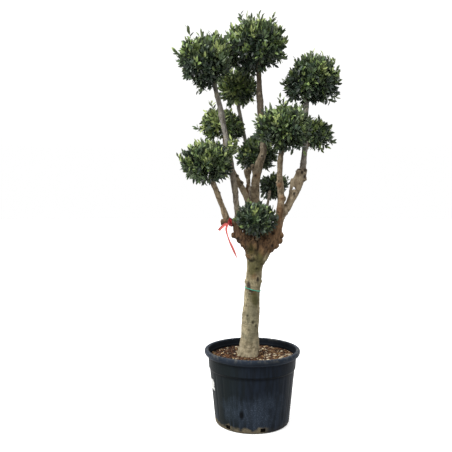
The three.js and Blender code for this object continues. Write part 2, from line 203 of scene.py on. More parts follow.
lamp_data = bpy.data.lights.new("soft_lamp", "AREA")
lamp_data.size = lamp_size
lamp_data.energy = lamp_power
lamp = bpy.data.objects.new("soft_lamp", lamp_data)
lamp.location = lamp_place
lamp.rotation_euler = (lamp_aim - lamp.location).to_track_quat("-Z", "Y").to_euler()
scene.collection.objects.link(lamp)

floor_angles = np.arange(floor_sides) * math.tau / floor_sides
floor_edge = np.stack([np.cos(floor_angles), np.sin(floor_angles), 0 * floor_angles], 1) * floor_radius
floor = new_object("floor", floor_edge - (0, 0, floor_drop), [tuple(range(floor_sides))])
floor.visible_diffuse = False
floor_paint = new_material("pale_floor", 0.7)
paint(floor_paint, "Base Color", mixed(pattern(floor_paint, 3), "#fbfbfa", "#fefefe"))
paint(floor_paint, "Emission Color", (1, 1, 1, 1))
paint(floor_paint, "Emission Strength", floor_glow)
floor.data.materials.append(floor_paint)

# The container: a black polypropylene nursery pot of about 110 litres, blown or moulded in one piece.
# It has a thick rolled lip, a plain stacking collar, shallow flutes down its body, a rounded foot and
# six drainage slots. Dried mud clings to its foot, and years of handling have scuffed it pale.
pot_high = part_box("pot")[1]
lip_radius = pot_high.x
pot_height = pot_high.z
lip_height = 0.034
inner_top = pot_height - lip_height
foot_radius = 0.250
body_top = 0.372
body_top_radius = 0.288
collar_radius = 0.294
collar_top_radius = 0.300
mouth_radius = 0.297
wall = 0.006
inner_top_radius = 0.293
flute_count = 24
flute_depth = 0.0024
flute_breadth = 0.011
flute_ends = (0.05, 0.075, body_top - 0.03, body_top - 0.012)
pot_segments = flute_count * 12
longest_step = 0.014
slot_size = (0.036, 0.034, 0.025)
slot_height = 0.026
slot_angles = [229.5, 283.5, 344.7, 45.9, 107.1, 168.3]
cube_corners = np.array([(x, y, z) for x in (-0.5, 0.5) for y in (-0.5, 0.5) for z in (-0.5, 0.5)])
cube_faces = [(0, 1, 3, 2), (4, 6, 7, 5), (0, 4, 5, 1), (2, 3, 7, 6), (0, 2, 6, 4), (1, 5, 7, 3)]


def rounded(corners, steps):
    """An outline through (radius, height, rounding) corners, with each rounded corner made a curve."""
    outline = []
    for i, (radius, height, rounding) in enumerate(corners):
        here = np.array((radius, height))
        if rounding == 0:
            outline.append(here)
            continue
        before = np.array(corners[i - 1][:2]) - here
        after = np.array(corners[i + 1][:2]) - here
        start = here + before / np.linalg.norm(before) * rounding
        end = here + after / np.linalg.norm(after) * rounding
        for t in np.linspace(0, 1, steps):
            outline.append((1 - t) ** 2 * start + 2 * t * (1 - t) * here + t * t * end)
    return outline


def divided(outline, longest):
    """The same outline with extra points, so that no step in it is longer than the longest given."""
    points = [outline[0]]
    for before, after in zip(outline, outline[1:]):
        pieces = max(1, math.ceil(np.linalg.norm(after - before) / longest))
        points.extend(before + (after - before) * k / pieces for k in range(1, pieces + 1))
    return points


def turned(outline, segments, swell=lambda angles, radius, height: 0 * angles):
    """An outline that starts and ends on the axis, turned round it, with its radius swollen by angle."""
    angles = np.arange(segments) * math.tau / segments
    points = []
    rings = []
    for radius, height in outline:
        first = len(points)
        if radius < 1e-6:
            points.append((0, 0, height))
            rings.append([first] * segments)
            continue
        reach = radius + swell(angles, radius, height)
        points.extend(zip(reach * np.cos(angles), reach * np.sin(angles), [height] * segments))
        rings.append(list(range(first, first + segments)))
    faces = []
    for low, high in zip(rings, rings[1:]):
        for i in range(segments):
            j = (i + 1) % segments
            faces.append(list(dict.fromkeys((low[i], low[j], high[j], high[i]))))
    return points, faces


def flutes(angles, radius, height):
    """Shallow rounded flutes, which run down the outside of the body and fade at both its ends."""
    outside = radius > foot_radius + (body_top_radius - foot_radius) * height / body_top - wall / 2
    fade = np.interp(height, flute_ends, (0, 1, 1, 0))
    pitch = math.tau / flute_count
    aside = ((angles + pitch / 2) % pitch - pitch / 2) * radius / flute_breadth
    return outside * fade * -flute_depth * np.exp(-(aside * 2) ** 2)


def settled(piece, angle=40):
    """Shades a piece smoothly except over edges sharper than the angle."""
    piece.data.shade_smooth()
    piece.data.set_sharp_from_angle(angle=math.radians(angle))
    return piece


def shaped(piece):
    """A piece's mesh as its modifiers leave it. The modifiers are then taken off."""
    mesh = bpy.data.meshes.new_from_object(piece.evaluated_get(bpy.context.evaluated_depsgraph_get()))
    piece.modifiers.clear()
    return mesh


def cut(piece, cutters):
    """Cuts the cutters out of a piece and removes them."""
    for cutter in cutters:
        modifier = piece.modifiers.new("cut", "BOOLEAN")
        modifier.object = cutter
        modifier.solver = "EXACT"
        modifier.operation = "DIFFERENCE"
    piece.data = shaped(piece)
    for cutter in cutters:
        bpy.data.objects.remove(cutter)


def block(name, size, place, turn):
    """A plain block, turned round the vertical axis, for cutting."""
    corners = cube_corners * np.array(size) + place
    c, s = math.cos(turn), math.sin(turn)
    return new_object(name, corners @ np.array(((c, s, 0), (-s, c, 0), (0, 0, 1))), cube_faces)


def ride_as(piece, slot, *nodes):
    """A piece of the plant: it rides on the one body and stands for CAD nodes, which it hides. The slot is
    not used.
    """
    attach(piece, "root")
    if nodes:
        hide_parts(*nodes)


pot_outline = rounded([
    (0, 0, 0),
    (foot_radius, 0, 0.014),
    (body_top_radius, body_top - 0.006, 0.003),
    (collar_radius, body_top, 0.002),
    (collar_top_radius - 0.001, inner_top - 0.012, 0.002),
    (collar_top_radius + 0.006, inner_top - 0.008, 0.003),
    (collar_top_radius + 0.006, inner_top - 0.001, 0.002),
    (lip_radius - 0.006, inner_top, 0.002),
    (lip_radius, inner_top + 0.012, 0.008),
    (lip_radius, pot_height, 0.013),
    (mouth_radius, pot_height, 0.010),
    (inner_top_radius, inner_top, 0.004),
    (foot_radius - wall, wall, 0.010),
    (0, wall, 0),
], 6)
container = new_object("container", *turned(divided(pot_outline, longest_step), pot_segments, flutes))
cut(container, [
    block(f"slot_{i}", slot_size, (foot_radius, 0, slot_height), math.radians(angle))
    for i, angle in enumerate(slot_angles)
])
settled(container)

# The plastic's marks, painted shade and painted highlights. Each edge is a pair of measures, over which a
# mark fades in or out. Round marks have a middle, X and Z, and factors that count the way from it in the
# mark's own size.
collar_shade_edges = ((0.346, 0.366), (0.378, 0.373))
ledge_wear_and_highlight_edges = ((0.451, 0.455), (0.462, 0.459))
scuff_edges = ((0.16, 0.05), (0.01, 0.05))
dust_edge = (0.466, 0.494)
inner_wall_shade_edges = ((0.2990, 0.2970), (0.436, 0.442))
slot_shade_depth_edge = (0.2492, 0.2480)
slot_shade_rise_edges = ((0.010, 0.012), (0.060, 0.050))
scrap_rise_edges = ((0.261, 0.263), (0.330, 0.328))
scrap_side_edges = ((-0.084, -0.082), (0.044, 0.042))
worn_middle, worn_factors = (0.005, 0.14), (5.6, 8.0)
smear_middle, smear_factors = (-0.079, 0.125), (60, 32)
wall_slope = 0.102


def within(value, *edges):
    """1 where a value lies between soft edges, and 0 beyond them."""
    return product(*[spread(value, *edge) for edge in edges])


def off_middle(middle, factors):
    """The square of the way from a round mark's middle."""
    steps = [product(combined("SUBTRACT", side[axis], start), factor)
             for axis, start, factor in zip("XZ", middle, factors)]
    return total(*[product(step, step) for step in steps])


def layered(tint, *layers):
    """A tint with others laid over it, each with its share."""
    for share, over in layers:
        tint = mixed(share, tint, over)
    return tint


plastic = new_material("scuffed_black_plastic", 0.5, 0.3)
paint(plastic, "IOR", 1.13)
place = own_place(plastic)
side = add_node(plastic.node_tree, "ShaderNodeSeparateXYZ", {0: place}).outputs
rise = side["Z"]
streaks = pattern(plastic, 60, (1, 1, 0.08))
clouds = pattern(plastic, 9)
grain = pattern(plastic, 420, detail=2)
front = spread(side["Y"], 0.0, -0.05)
# Painted shade: a dark band just under the collar's step.
collar_shade = product(within(rise, *collar_shade_edges), 0.7)
# A pale line along the ledge under the lip: partly wear, partly a painted highlight.
ledge_wear_and_highlight = product(within(rise, *ledge_wear_and_highlight_edges), spread(clouds, 0.35, 0.6, 0.1, 0.5))
worn = total(off_middle(worn_middle, worn_factors),
             spread(clouds, 0.3, 0.7, 0.6, -0.6), spread(streaks, 0.3, 0.7, 0.3, -0.3))
worn = product(spread(worn, 1.3, -0.1), front)
scuffs = product(within(rise, *scuff_edges), spread(streaks, 0.46, 0.66, 0, 0.35))
specks = product(spread(pattern(plastic, 170, detail=2), 0.52, 0.62), worn)
scuffs = combined("MAXIMUM", scuffs, specks, product(worn, 0.35))
smear = product(spread(off_middle(smear_middle, smear_factors), 1.3, 0.2, 0, 0.95), front)
dust = product(spread(rise, *dust_edge), spread(pattern(plastic, 36), 0.5, 0.66), 0.22)
mud = spread(total(rise, product(pattern(plastic, 22), -0.09)), -0.004, -0.026)
mud = product(mud, spread(grain, 0.25, 0.5), spread(side["X"], 0.10, 0.05, 0.08, 0.95))
flat = add_node(plastic.node_tree, "ShaderNodeVectorMath", {0: place, 1: (1, 1, 0)}, operation="MULTIPLY")
flat = add_node(plastic.node_tree, "ShaderNodeVectorMath", {0: flat.outputs[0]}, operation="LENGTH")
reach = flat.outputs["Value"]
# Painted shade: the inner wall at the top of the pot is darkened.
inner_wall_shade = product(spread(reach, *inner_wall_shade_edges[0]), spread(rise, *inner_wall_shade_edges[1]), 0.75)
# Painted shade: the inner faces of the drainage slots are painted near black.
depth = combined("SUBTRACT", reach, product(rise, wall_slope))
slot_shade = product(spread(depth, *slot_shade_depth_edge), within(rise, *slot_shade_rise_edges))
ragged = product(pattern(plastic, 70, detail=6), 0.05)
scrap = product(within(total(rise, ragged), *scrap_rise_edges),
                within(total(side["Y"], ragged), *scrap_side_edges), spread(side["X"], -0.18, -0.2))
paint(plastic, "Base Color", layered(
    mixed(spread(streaks, 0.35, 0.70), "#191d22", "#212833"),
    (product(spread(side["X"], -0.03, -0.17), 0.8), "#1c2222"),
    # Painted shade: the body darkens towards its left and right sides.
    (spread(combined("ABSOLUTE", side["X"], 0), 0.13, 0.28, 0, 0.6), "#0b0e10"),
    # Painted highlight: the rolled lip is lighter and bluer than the body.
    (spread(rise, inner_top - 0.014, inner_top), mixed(clouds, "#1c2127", "#2f3743")),
    (collar_shade, "#06080a"),
    (ledge_wear_and_highlight, "#565e68"),
    (product(scuffs, 0.8), "#4b5664"),
    (smear, "#0b0c0e"),
    (dust, "#8d8878"),
    (mud, mixed(clouds, "#6e6450", "#8a8068")),
    (inner_wall_shade, "#0a0c0e"),
    (slot_shade, "#030404"),
    (scrap, "#e4e4e0"),
))
paint(plastic, "Roughness", spread(combined("MAXIMUM", mud, scuffs), 0, 1, 0.45, 0.8))
bumped(plastic, total(product(grain, 0.3), product(streaks, 0.7), mud), 0.0012)
container.data.materials.append(plastic)
ride_as(container, "pot_plastic", "pot")

# The potting mix: composted bark that has settled five centimetres below the lip, brown and uneven,
# heaped a little round the trunk. Chips of bark and pale wood lie on it, the paler ones on the right.
soil_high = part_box("soil")[1]
soil_radius = soil_high.x + 0.0003
soil_foot = foot_radius - wall - 0.0006
soil_bottom = wall + 0.0005
soil_level = soil_high.z
soil_ring_count = 70
soil_segments = 180
soil_lumps = 0.006
trunk_foot = Vector((-0.026, 0, soil_level))
heap_height, heap_breadth = 0.012, 0.11
chip_count = 3400
chip_tones = ["#2b1b12", "#4c3221", "#694a33", "#92744f", "#d6c8aa"]
chip_shares_left = [0.44, 0.34, 0.12, 0.05, 0.05]
chip_shares_right = [0.15, 0.19, 0.18, 0.20, 0.28]


def soil_height(x, y):
    """How high the mix lies at a place: lumpy, and heaped a little against the trunk."""
    away = (Vector((x, y, soil_level)) - trunk_foot).length
    heap = heap_height * math.exp(-(away / heap_breadth) ** 2)
    fine = noise.noise(Vector((x, y, 0)) * 60) * soil_lumps * 0.5
    return soil_level - 0.004 + heap + noise.noise(Vector((x, y, 3)) * 14) * soil_lumps + fine


soil_rings = [(soil_radius * k / soil_ring_count, soil_level) for k in range(soil_ring_count, 0, -1)]
soil_outline = [(0, soil_bottom), (soil_foot, soil_bottom), *soil_rings, (0, soil_level)]
mix_points, mix_faces = turned(soil_outline, soil_segments)
mix_points = [(x, y, soil_height(x, y) if z > soil_level - 0.001 else z) for x, y, z in mix_points]
mix = settled(new_object("potting_mix", mix_points, mix_faces))
compost = new_material("composted_bark", 0.95, 0.06)
crumbs = pattern(compost, 90, detail=6)
rise = add_node(compost.node_tree, "ShaderNodeSeparateXYZ", {0: own_place(compost)}).outputs["Z"]
paint(compost, "Base Color", layered(
    mixed(spread(crumbs, 0.35, 0.65), "#2a1a11", "#66462f"),
    (spread(pattern(compost, 260), 0.64, 0.70), "#a58a66"),
    # Painted shade: the mix fades to near black below its surface, so that it shows dark through the slots.
    (spread(rise, 0.43, 0.40), "#0b0806"),
))
bumped(compost, crumbs, 0.006)
mix.data.materials.append(compost)
ride_as(mix, "potting_mix", "soil")


def joined_mesh(name, points, corners, sizes, looks):
    """One mesh out of flat lists: the points, the faces' corners, each face's size and its material."""
    mesh = bpy.data.meshes.new(name)
    mesh.vertices.add(len(points))
    mesh.vertices.foreach_set("co", np.asarray(points, np.float32).ravel())
    mesh.loops.add(len(corners))
    mesh.loops.foreach_set("vertex_index", np.asarray(corners, np.int32))
    mesh.polygons.add(len(sizes))
    mesh.polygons.foreach_set("loop_start", np.concatenate([[0], np.cumsum(sizes)[:-1]]).astype(np.int32))
    mesh.polygons.foreach_set("material_index", np.asarray(looks, np.int32))
    mesh.update(calc_edges=True)
    mesh.validate()
    made = bpy.data.objects.new(name, mesh)
    scene.collection.objects.link(made)
    return made


def axes_from(aims, uppers):
    """Right-handed sets of sideways, forward and upward directions, from aims and rough uppers."""
    forward = unit(aims)
    sideways = unit(np.cross(forward, uppers))
    return np.stack([sideways, forward, np.cross(sideways, forward)], 1)


def unit(rows):
    return rows / np.linalg.norm(rows, axis=-1, keepdims=True)


dice = np.random.default_rng(7)
spots = []
while len(spots) < chip_count:
    angle, reach = dice.random() * math.tau, math.sqrt(dice.random()) * (soil_radius - 0.008)
    spot = Vector((reach * math.cos(angle), reach * math.sin(angle), soil_level))
    if (spot - trunk_foot).length > 0.085:
        spots.append((spot.x, spot.y, soil_height(spot.x, spot.y)))
lengths = 0.004 + 0.021 * dice.random(chip_count) ** 2.4
sizes = np.stack([lengths * dice.uniform(0.35, 0.8, chip_count), lengths,
                  lengths * dice.uniform(0.12, 0.4, chip_count)], 1)
corners = (cube_corners + dice.uniform(-0.16, 0.16, (chip_count, 8, 3))) * sizes[:, None]
turns = dice.random(chip_count) * math.tau
aims = np.stack([np.cos(turns), np.sin(turns), dice.uniform(-0.3, 0.3, chip_count)], 1)
uppers = np.stack([dice.normal(0, 0.3, chip_count), dice.normal(0, 0.3, chip_count), np.ones(chip_count)], 1)
chip_points = np.einsum("nvc,ncd->nvd", corners, axes_from(aims, uppers)) + np.array(spots)[:, None]
chip_corners = (np.ravel(cube_faces) + 8 * np.arange(chip_count)[:, None]).ravel()
paler = dice.random(chip_count) < np.interp([spot[0] for spot in spots], (-0.15, 0.15), (0.1, 0.9))
tones = np.where(paler, dice.choice(len(chip_tones), chip_count, p=chip_shares_right),
                 dice.choice(len(chip_tones), chip_count, p=chip_shares_left))
chips = joined_mesh("bark_chips", chip_points.reshape(-1, 3), chip_corners, [4] * 6 * chip_count,
                    np.repeat(tones, 6))


def shaded(code, factor):
    """A plain colour code made darker or lighter."""
    return (*[factor * share for share in colour(code)[:3]], 1)


for code in chip_tones:
    chip_wood = new_material(f"chip_{code[1:]}", 0.9, 0.2)
    fibre = pattern(chip_wood, 300, (1, 0.2, 1))
    paint(chip_wood, "Base Color", mixed(fibre, code, shaded(code, 0.6)))
    bumped(chip_wood, fibre, 0.001)
    chips.data.materials.append(chip_wood)
ride_as(chips, "potting_mix")

# The wood: one old olive stem, smooth and grey-tan with shallow wrinkles, which swells on top into a
# fissured red-brown burl. The boughs grow out of that and fade from brown to grey as they rise. The
# limbs' plain solids are melted together, evened out, and given their bark's relief point by point.
wood_nodes = [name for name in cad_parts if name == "trunk" or name.startswith("bough_")]
grain_size = 0.0042
evening_passes = 8
fullness = 0.0020
burl_bottom = 1.085
burl_top = 1.30
trunk_browns_over = (1.09, 1.15)
brown_up_to = {
    "bough_top_left": 1.36, "bough_middle_left": 1.42, "bough_top_centre": 1.36, "bough_right": 1.38,
    "bough_top_right": 1.60, "bough_middle_right": 1.48, "bough_lower_left": 1.40,
    "bough_upper_back": 1.40, "bough_middle_back": 1.62, "bough_lower_right": 1.26, "bough_far_right": 1.62,
}
leant_aside = {
    "bough_middle_left": ((1.54, 1.64, 1.80, 1.95), (0, -0.018, -0.022, 0)),
    "bough_right": ((1.40, 1.48, 1.58, 1.66), (0, 0.010, 0.010, 0)),
    "bough_top_centre": ((1.95, 2.10, 2.40), (0, 0.007, 0.008)),
    "bough_upper_back": ((1.90, 2.00, 2.20), (0, -0.008, -0.008)),
    "bough_top_right": ((1.70, 1.80, 2.20), (0, 0.006, 0.006)),
}
thinned = {"bough_middle_back": 0.0035, "bough_middle_left": 0.0020, "bough_right": 0.0030,
           "bough_lower_right": 0.0025}
stem_lengths = {"bough_top_centre": 0.12, "bough_top_left": 0.08, "bough_top_right": 0.07,
                "bough_lower_right": 0.004}
cut_stubs = [
    ("bough_middle_left", (-0.114, 0.096, 1.616), (-0.109, 0.084, 1.674), 0.021, 0.017),
    ("bough_middle_left", (-0.098, 0.092, 1.600), (-0.066, 0.078, 1.626), 0.018, 0.015),
    ("bough_middle_back", (-0.026, 0.140, 1.655), (-0.036, 0.130, 1.713), 0.014, 0.017),
    ("bough_top_centre", (0.016, 0.028, 1.640), (0.010, 0.020, 1.706), 0.013, 0.007),
    ("bough_right", (0.251, 0.004, 1.507), (0.277, 0.01, 1.642), 0.009, 0.013),
    ("bough_right", (0.302, 0.018, 1.630), (0.316, 0.012, 1.706), 0.029, 0.011),
    ("bough_right", (0.335, 0.014, 1.640), (0.352, 0.005, 1.708), 0.021, 0.012),
]
cleft_line = (0.032, 1.165, 1.25)
cleft_depth, cleft_width = 0.018, 0.011
ledge_line = ((-0.060, -0.040, -0.026, -0.006, 0.010, 0.042, 0.060),
              (1.108, 1.103, 1.097, 1.092, 1.094, 1.088, 1.085))
wave_rows = [
    ((13, 13, 11), 0, 0.0025, 0.006),
    ((30, 30, 7), 0, 0.0020, 0.005),
    ((60, 60, 30), 11, 0.0010, 0.0015),
]
wrinkle_depth = 0.0012
crack_width = 0.14
crack_depth = 0.0042
chance_marks = 90
chance_sizes = (0.004, 0.009)
seat_reach = 0.08
brown_fade = 0.05
hole_sides = 16
light_holes = [((0.273, -0.020, 1.578), 0.014, 0.030, -22), ((-0.069, -0.030, 1.291), 0.019, 0.022, 10)]

# Lumps and marks on the wood in millimetres, each as X, Y, Z and its size, noted from the front.
swellings = {
    "bough_middle_right": [(182, -48, 1603, 25), (204, -25, 1508, 23)],
    "trunk": [(-108, -20, 1257, 19), (-87, -20, 1228, 22), (-64, -20, 1198, 20), (-19, -42, 1117, 23),
        (2, -42, 1120, 22), (81, 20, 1240, 32), (190, 0, 1264, 19), (179, 0, 1229, 21), (153, 0, 1196, 24),
        (122, 0, 1167, 27), (90, 0, 1141, 21), (112, 0, 1262, 34), (118, 4, 1300, 22), (94, 0, 1286, 20)],
}
knots = [
    (34, -55, 965, 10), (34, -55, 978, 7), (-60, 60, 1632, 12), (-26, -50, 934, 16), (-20, -55, 916, 14),
    (-14, -55, 896, 11), (-4, -55, 890, 9), (-104, 70, 1682, 13), (352, -10, 1700, 12),
    (314, -10, 1704, 9), (-40, -50, 791, 8), (-33, -55, 725, 9), (-32, -50, 834, 6), (3, -60, 678, 12),
    (21, -58, 656, 9), (-25, -55, 628, 7), (-65, -40, 597, 6), (32, -50, 602, 6), (-222, -85, 1560, 8),
    (-95, -50, 1238, 13), (-79, -50, 1312, 14), (128, -50, 1196, 11), (134, -50, 1274, 13),
    (-32, 110, 1712, 9), (8, 0, 1716, 6), (63, -10, 1794, 7), (170, -75, 1622, 6), (279, -20, 1541, 10),
    (350, -10, 1655, 12), (332, -12, 1683, 11), (22, 10, 1664, 8), (62, 0, 1560, 6), (-126, -20, 1500, 6),
]
nubs = [
    (45, -30, 497, 14), (90, -10, 1100, 14), (-47, 0, 947, 10), (69, 0, 944, 10), (-126, -30, 1266, 16),
    (197, -10, 1262, 18), (197, -45, 1517, 12), (-43, 80, 1592, 10), (130, -40, 1180, 18),
    (-30, -55, 1190, 18), (110, -50, 1235, 16), (150, -30, 1330, 14),
]
dents = [
    (-51, -10, 1166, 20), (56, -10, 455, 34), (60, -20, 1070, 12),
]
rust_spots = [
    (6, -55, 994, 24), (6, -55, 884, 20), (27, 10, 1659, 18), (176, -60, 1598, 22), (197, -40, 1512, 20),
    (-28, -60, 1116, 14),
]
moss_spots = [
    (-20, -50, 1080, 20), (44, -50, 1076, 32), (14, -55, 1055, 30), (-12, -55, 1030, 18),
    (9, -55, 855, 26), (22, -55, 816, 26), (50, -45, 930, 18), (-20, -50, 1160, 30), (40, -50, 1110, 30),
]
stain_spots = [
    (-2, -55, 770, 36), (-10, -55, 710, 40), (10, -55, 640, 46), (-9, -55, 573, 20), (-60, -50, 605, 14),
    (-47, -55, 580, 12), (31, -55, 600, 14), (30, -55, 540, 18), (40, -50, 860, 26), (20, -55, 1010, 22),
    (-20, -55, 860, 18),
]


def metres(rows):
    return [tuple(value / 1000 for value in row) for row in rows]


def faces_of(shape):
    return [[vertex.index for vertex in face.verts] for face in shape.faces]


def joined_parts(names):
    """The points and faces of some limbs, and the limb's number of each face. Each limb comes with its
    swellings, its cut stubs and the stem that carries it on into its ball."""
    points, faces, owners, stems = [], [], [], []

    def add(name, more_points, more_faces):
        faces.extend([len(points) + i for i in face] for face in more_faces)
        points.extend(more_points)
        owners.extend([names.index(name)] * len(more_faces))

    for name in names:
        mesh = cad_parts[name].data
        limb = [vertex.co - vertex.normal * thinned.get(name, 0) for vertex in mesh.vertices]
        for place in limb:
            place.x += np.interp(place.z, *leant_aside.get(name, ((0, 1), (0, 0))))
        add(name, limb, [list(face.vertices) for face in mesh.polygons])
        if name not in ("trunk", "bough_right"):
            limb = np.array(limb)
            below_top = limb[:, 2].max() - limb[:, 2]
            end = limb[below_top < 0.012]
            tip = Vector(end.mean(0))
            onward = (tip - Vector(limb[(below_top > 0.04) & (below_top < 0.12)].mean(0))).normalized()
            thick = np.linalg.norm(end - np.array(tip), axis=1).max()
            stem_tip = tip + onward * stem_lengths.get(name, 0.04)
            stems.append((name, tip - onward * 0.03, stem_tip, thick, thick * 0.7))
    for name, rows in swellings.items():
        for *middle, radius in metres(rows):
            ball = bmesh.new()
            bmesh.ops.create_icosphere(ball, subdivisions=2, radius=radius)
            add(name, [vertex.co + Vector(middle) for vertex in ball.verts], faces_of(ball))
            ball.free()
    for name, root, tip, thick, thin in cut_stubs + stems:
        aim = Vector(tip) - Vector(root)
        turn = aim.to_track_quat("Z", "Y")
        stub = bmesh.new()
        bmesh.ops.create_cone(stub, cap_ends=True, segments=12, radius1=thick, radius2=thin, depth=aim.length)
        add(name, [turn @ vertex.co + Vector(root) + aim / 2 for vertex in stub.verts], faces_of(stub))
        stub.free()
    return points, faces, owners


def evened(points, edges, passes):
    """Evens out a mesh without shrinking it: each pass draws its points in, then pushes them out."""
    counts = np.bincount(edges.ravel(), minlength=len(points))[:, None]
    for step in (0.5, -0.53) * passes:
        sums = np.zeros_like(points)
        np.add.at(sums, edges[:, 0], points[edges[:, 1]])
        np.add.at(sums, edges[:, 1], points[edges[:, 0]])
        points = points + step * (sums / counts - points)
    return points


def read_out(values, name, shape, kind=np.float32):
    """One property of all of a mesh's elements, as an array of that shape."""
    rows = np.zeros(shape, kind)
    values.foreach_get(name, rows.ravel())
    return rows


def normals_of(mesh):
    return read_out(mesh.vertex_normals, "vector", (len(mesh.vertices), 3)).astype(float)


def moved(mesh, points):
    mesh.vertices.foreach_set("co", points.astype(np.float32).ravel())
    mesh.update()


def wavy(points, stretch, shift=0):
    """Soft noise from -1 to 1 at each point, after stretching space."""
    places = points * np.array(stretch) + shift
    return np.array([noise.noise(Vector(place)) for place in places])


def seated(mark):
    """Where a mark noted from the front lies on the bark, seen along the line from the camera."""
    aim = Vector(mark[:3]) - Vector(camera_place)
    hit = wood_solids.ray_cast(Vector(camera_place), aim)[0]
    if hit is None or (hit - Vector(mark[:3])).length > seat_reach:
        hit = wood_solids.find_nearest(Vector(mark[:3]))[0]
    return np.array(hit)


def nearness(mark, tall=1.0):
    """The distance of each point from a mark, counted in the mark's own size."""
    return np.linalg.norm((points - seated(mark)) / (1, 1, tall), axis=1) / mark[3]


def spotted(marks, tall=1.0):
    """How deep each point lies in soft round spots, from 0 to 1."""
    return np.clip(sum(np.exp(-nearness(mark, tall) ** 2) for mark in metres(marks)), 0, 1)


def turned_out(piece):
    """Turns all faces of a piece to face outward."""
    shape = bmesh.new()
    shape.from_mesh(piece.data)
    bmesh.ops.recalc_face_normals(shape, faces=shape.faces)
    shape.to_mesh(piece.data)
    shape.free()
    return piece


def sight_line(place, width, height, lean):
    """A long oval rod along the line from the camera through a place, for cutting a hole seen through."""
    aim = (Vector(place) - Vector(camera_place)).normalized()
    across = aim.cross(Vector((0, 0, 1))).normalized()
    upright = across.cross(aim)
    turn = math.radians(lean)
    sideways = across * math.cos(turn) + upright * math.sin(turn)
    lengthways = upright * math.cos(turn) - across * math.sin(turn)
    ends = []
    for reach in (-0.2, 0.2):
        for k in range(hole_sides):
            angle = math.tau * k / hole_sides
            offset = sideways * math.cos(angle) * width / 2 + lengthways * math.sin(angle) * height / 2
            ends.append(Vector(place) + aim * reach + offset)
    near, far = tuple(range(hole_sides)), tuple(range(hole_sides, 2 * hole_sides))
    sides = [(near[k - 1], near[k], far[k], far[k - 1]) for k in (*near[1:], 0)]
    return turned_out(new_object("sight_line", ends, [near, far, *sides]))


wood_points, wood_faces, wood_owners = joined_parts(wood_nodes)
wood_solids = BVHTree.FromPolygons(wood_points, wood_faces)
whole = new_object("wood", wood_points, wood_faces)
melt = whole.modifiers.new("melt", "REMESH")
melt.mode = "VOXEL"
melt.voxel_size = grain_size
whole.data = shaped(whole)
cut(whole, [sight_line(*hole) for hole in light_holes])
melted = whole.data
bpy.data.objects.remove(whole)
points = read_out(melted.vertices, "co", (len(melted.vertices), 3)).astype(float)
edges = read_out(melted.edges, "vertices", (len(melted.edges), 2), np.int32)
points = evened(points, edges, evening_passes)
moved(melted, points)

# The relief: broad lumps, flutes along the limbs, wrinkles across the trunk, and cracks in the burl.
heights = points[:, 2]
burl = np.interp(heights, (burl_bottom - 0.03, burl_bottom + 0.06, burl_top, 1.5), (0, 1, 0.9, 0.25))
relief = 0
for stretch, shift, on_stem, more_on_burl in wave_rows:
    relief = relief + wavy(points, stretch, shift) * (on_stem + more_on_burl * burl)
relief += wavy(points, (14, 14, 80), 7) * wrinkle_depth * (1 - burl)
cracks = np.clip(crack_width - np.abs(wavy(points, (52, 52, 13), 5)), 0, 1) / crack_width
cracks *= 0.10 + 0.90 * burl
relief -= cracks * crack_depth
# Painted shade: the depths of the cracks are darkened.
hollow_shade = 0.8 * cracks

# The deep cleft up the burl's front, and the rolled ledge under which the burl begins.
cleft_middle, cleft_bottom, cleft_top = cleft_line
across = np.abs(points[:, 0] - cleft_middle - 0.006 * np.sin(heights * 70)) / cleft_width
cleft_heights = (cleft_bottom - 0.05, cleft_bottom, cleft_top, cleft_top + 0.05)
groove = np.interp(heights, cleft_heights, (0, 1, 1, 0)) * np.exp(-across ** 2) * (points[:, 1] < 0.01)
relief -= cleft_depth * groove
above_ledge = heights - np.interp(points[:, 0], *ledge_line) - 0.003 * np.sin(points[:, 0] * 130)
ledge_share = (points[:, 1] < 0) * np.interp(points[:, 0], (-0.02, 0.01, 0.06), (1, 0.6, 0.15))
ledge = np.exp(-(above_ledge / 0.008) ** 2) * ledge_share
relief += 0.005 * np.exp(-((above_ledge - 0.022) / 0.014) ** 2) * ledge_share - 0.010 * ledge
# Painted shade: the cleft's groove and a band under the burl's ledge are darkened.
hollow_shade = np.maximum(np.maximum(hollow_shade, groove), 0.95 * ledge)

# Knots are pits with a raised rim, darkened inside with painted shade, and nubs are plain bumps.
# Half of the chance marks are each.
dice = np.random.default_rng(5)
chance = points[dice.integers(0, len(points), chance_marks)]
chance = [(*place, dice.uniform(*chance_sizes)) for place in chance]
for number, mark in enumerate(metres(knots) + chance[:chance_marks // 2]):
    near = nearness(mark, 1.3)
    relief += mark[3] * (0.30 * np.exp(-(near - 1.2) ** 2 * 3) - 0.45 * np.exp(-near ** 2 * 1.6))
    darkness = np.interp(mark[2], (0.84, 0.88), (0.75, 1.5)) if number < len(knots) else 0.5
    hollow_shade = np.maximum(hollow_shade, np.clip(darkness * np.exp(-near ** 2 * 1.3), 0, 1))
for mark in metres(nubs) + chance[chance_marks // 2:]:
    relief += mark[3] * 0.55 * np.exp(-nearness(mark) ** 2)
for mark in metres(dents):
    relief -= mark[3] * 0.45 * np.exp(-nearness(mark) ** 2)
moss = sum(np.exp(-nearness(mark, 1.6) ** 2) for mark in metres(moss_spots))
moss += np.clip(wavy(points, (14, 14, 9), 3) * 2.2 - 0.45, 0, 1) * np.interp(heights, (0.75, 0.86), (0, 0.35))
moss = np.clip(moss, 0, 1) * np.interp(heights, (1.20, 1.30), (1, 0))
stain = spotted(stain_spots, 1.4)
rust = spotted(rust_spots)
points = points + normals_of(melted) * (relief + fullness)[:, None]
moved(melted, points)
normals = normals_of(melted)
wood_surface = BVHTree.FromPolygons([Vector(p) for p in points], [tuple(p.vertices) for p in melted.polygons])
face_owners = [wood_owners[wood_solids.find_nearest(p.center)[2]] for p in melted.polygons]
uneven_heights = heights + 0.05 * wavy(points, (30, 30, 12), 9)


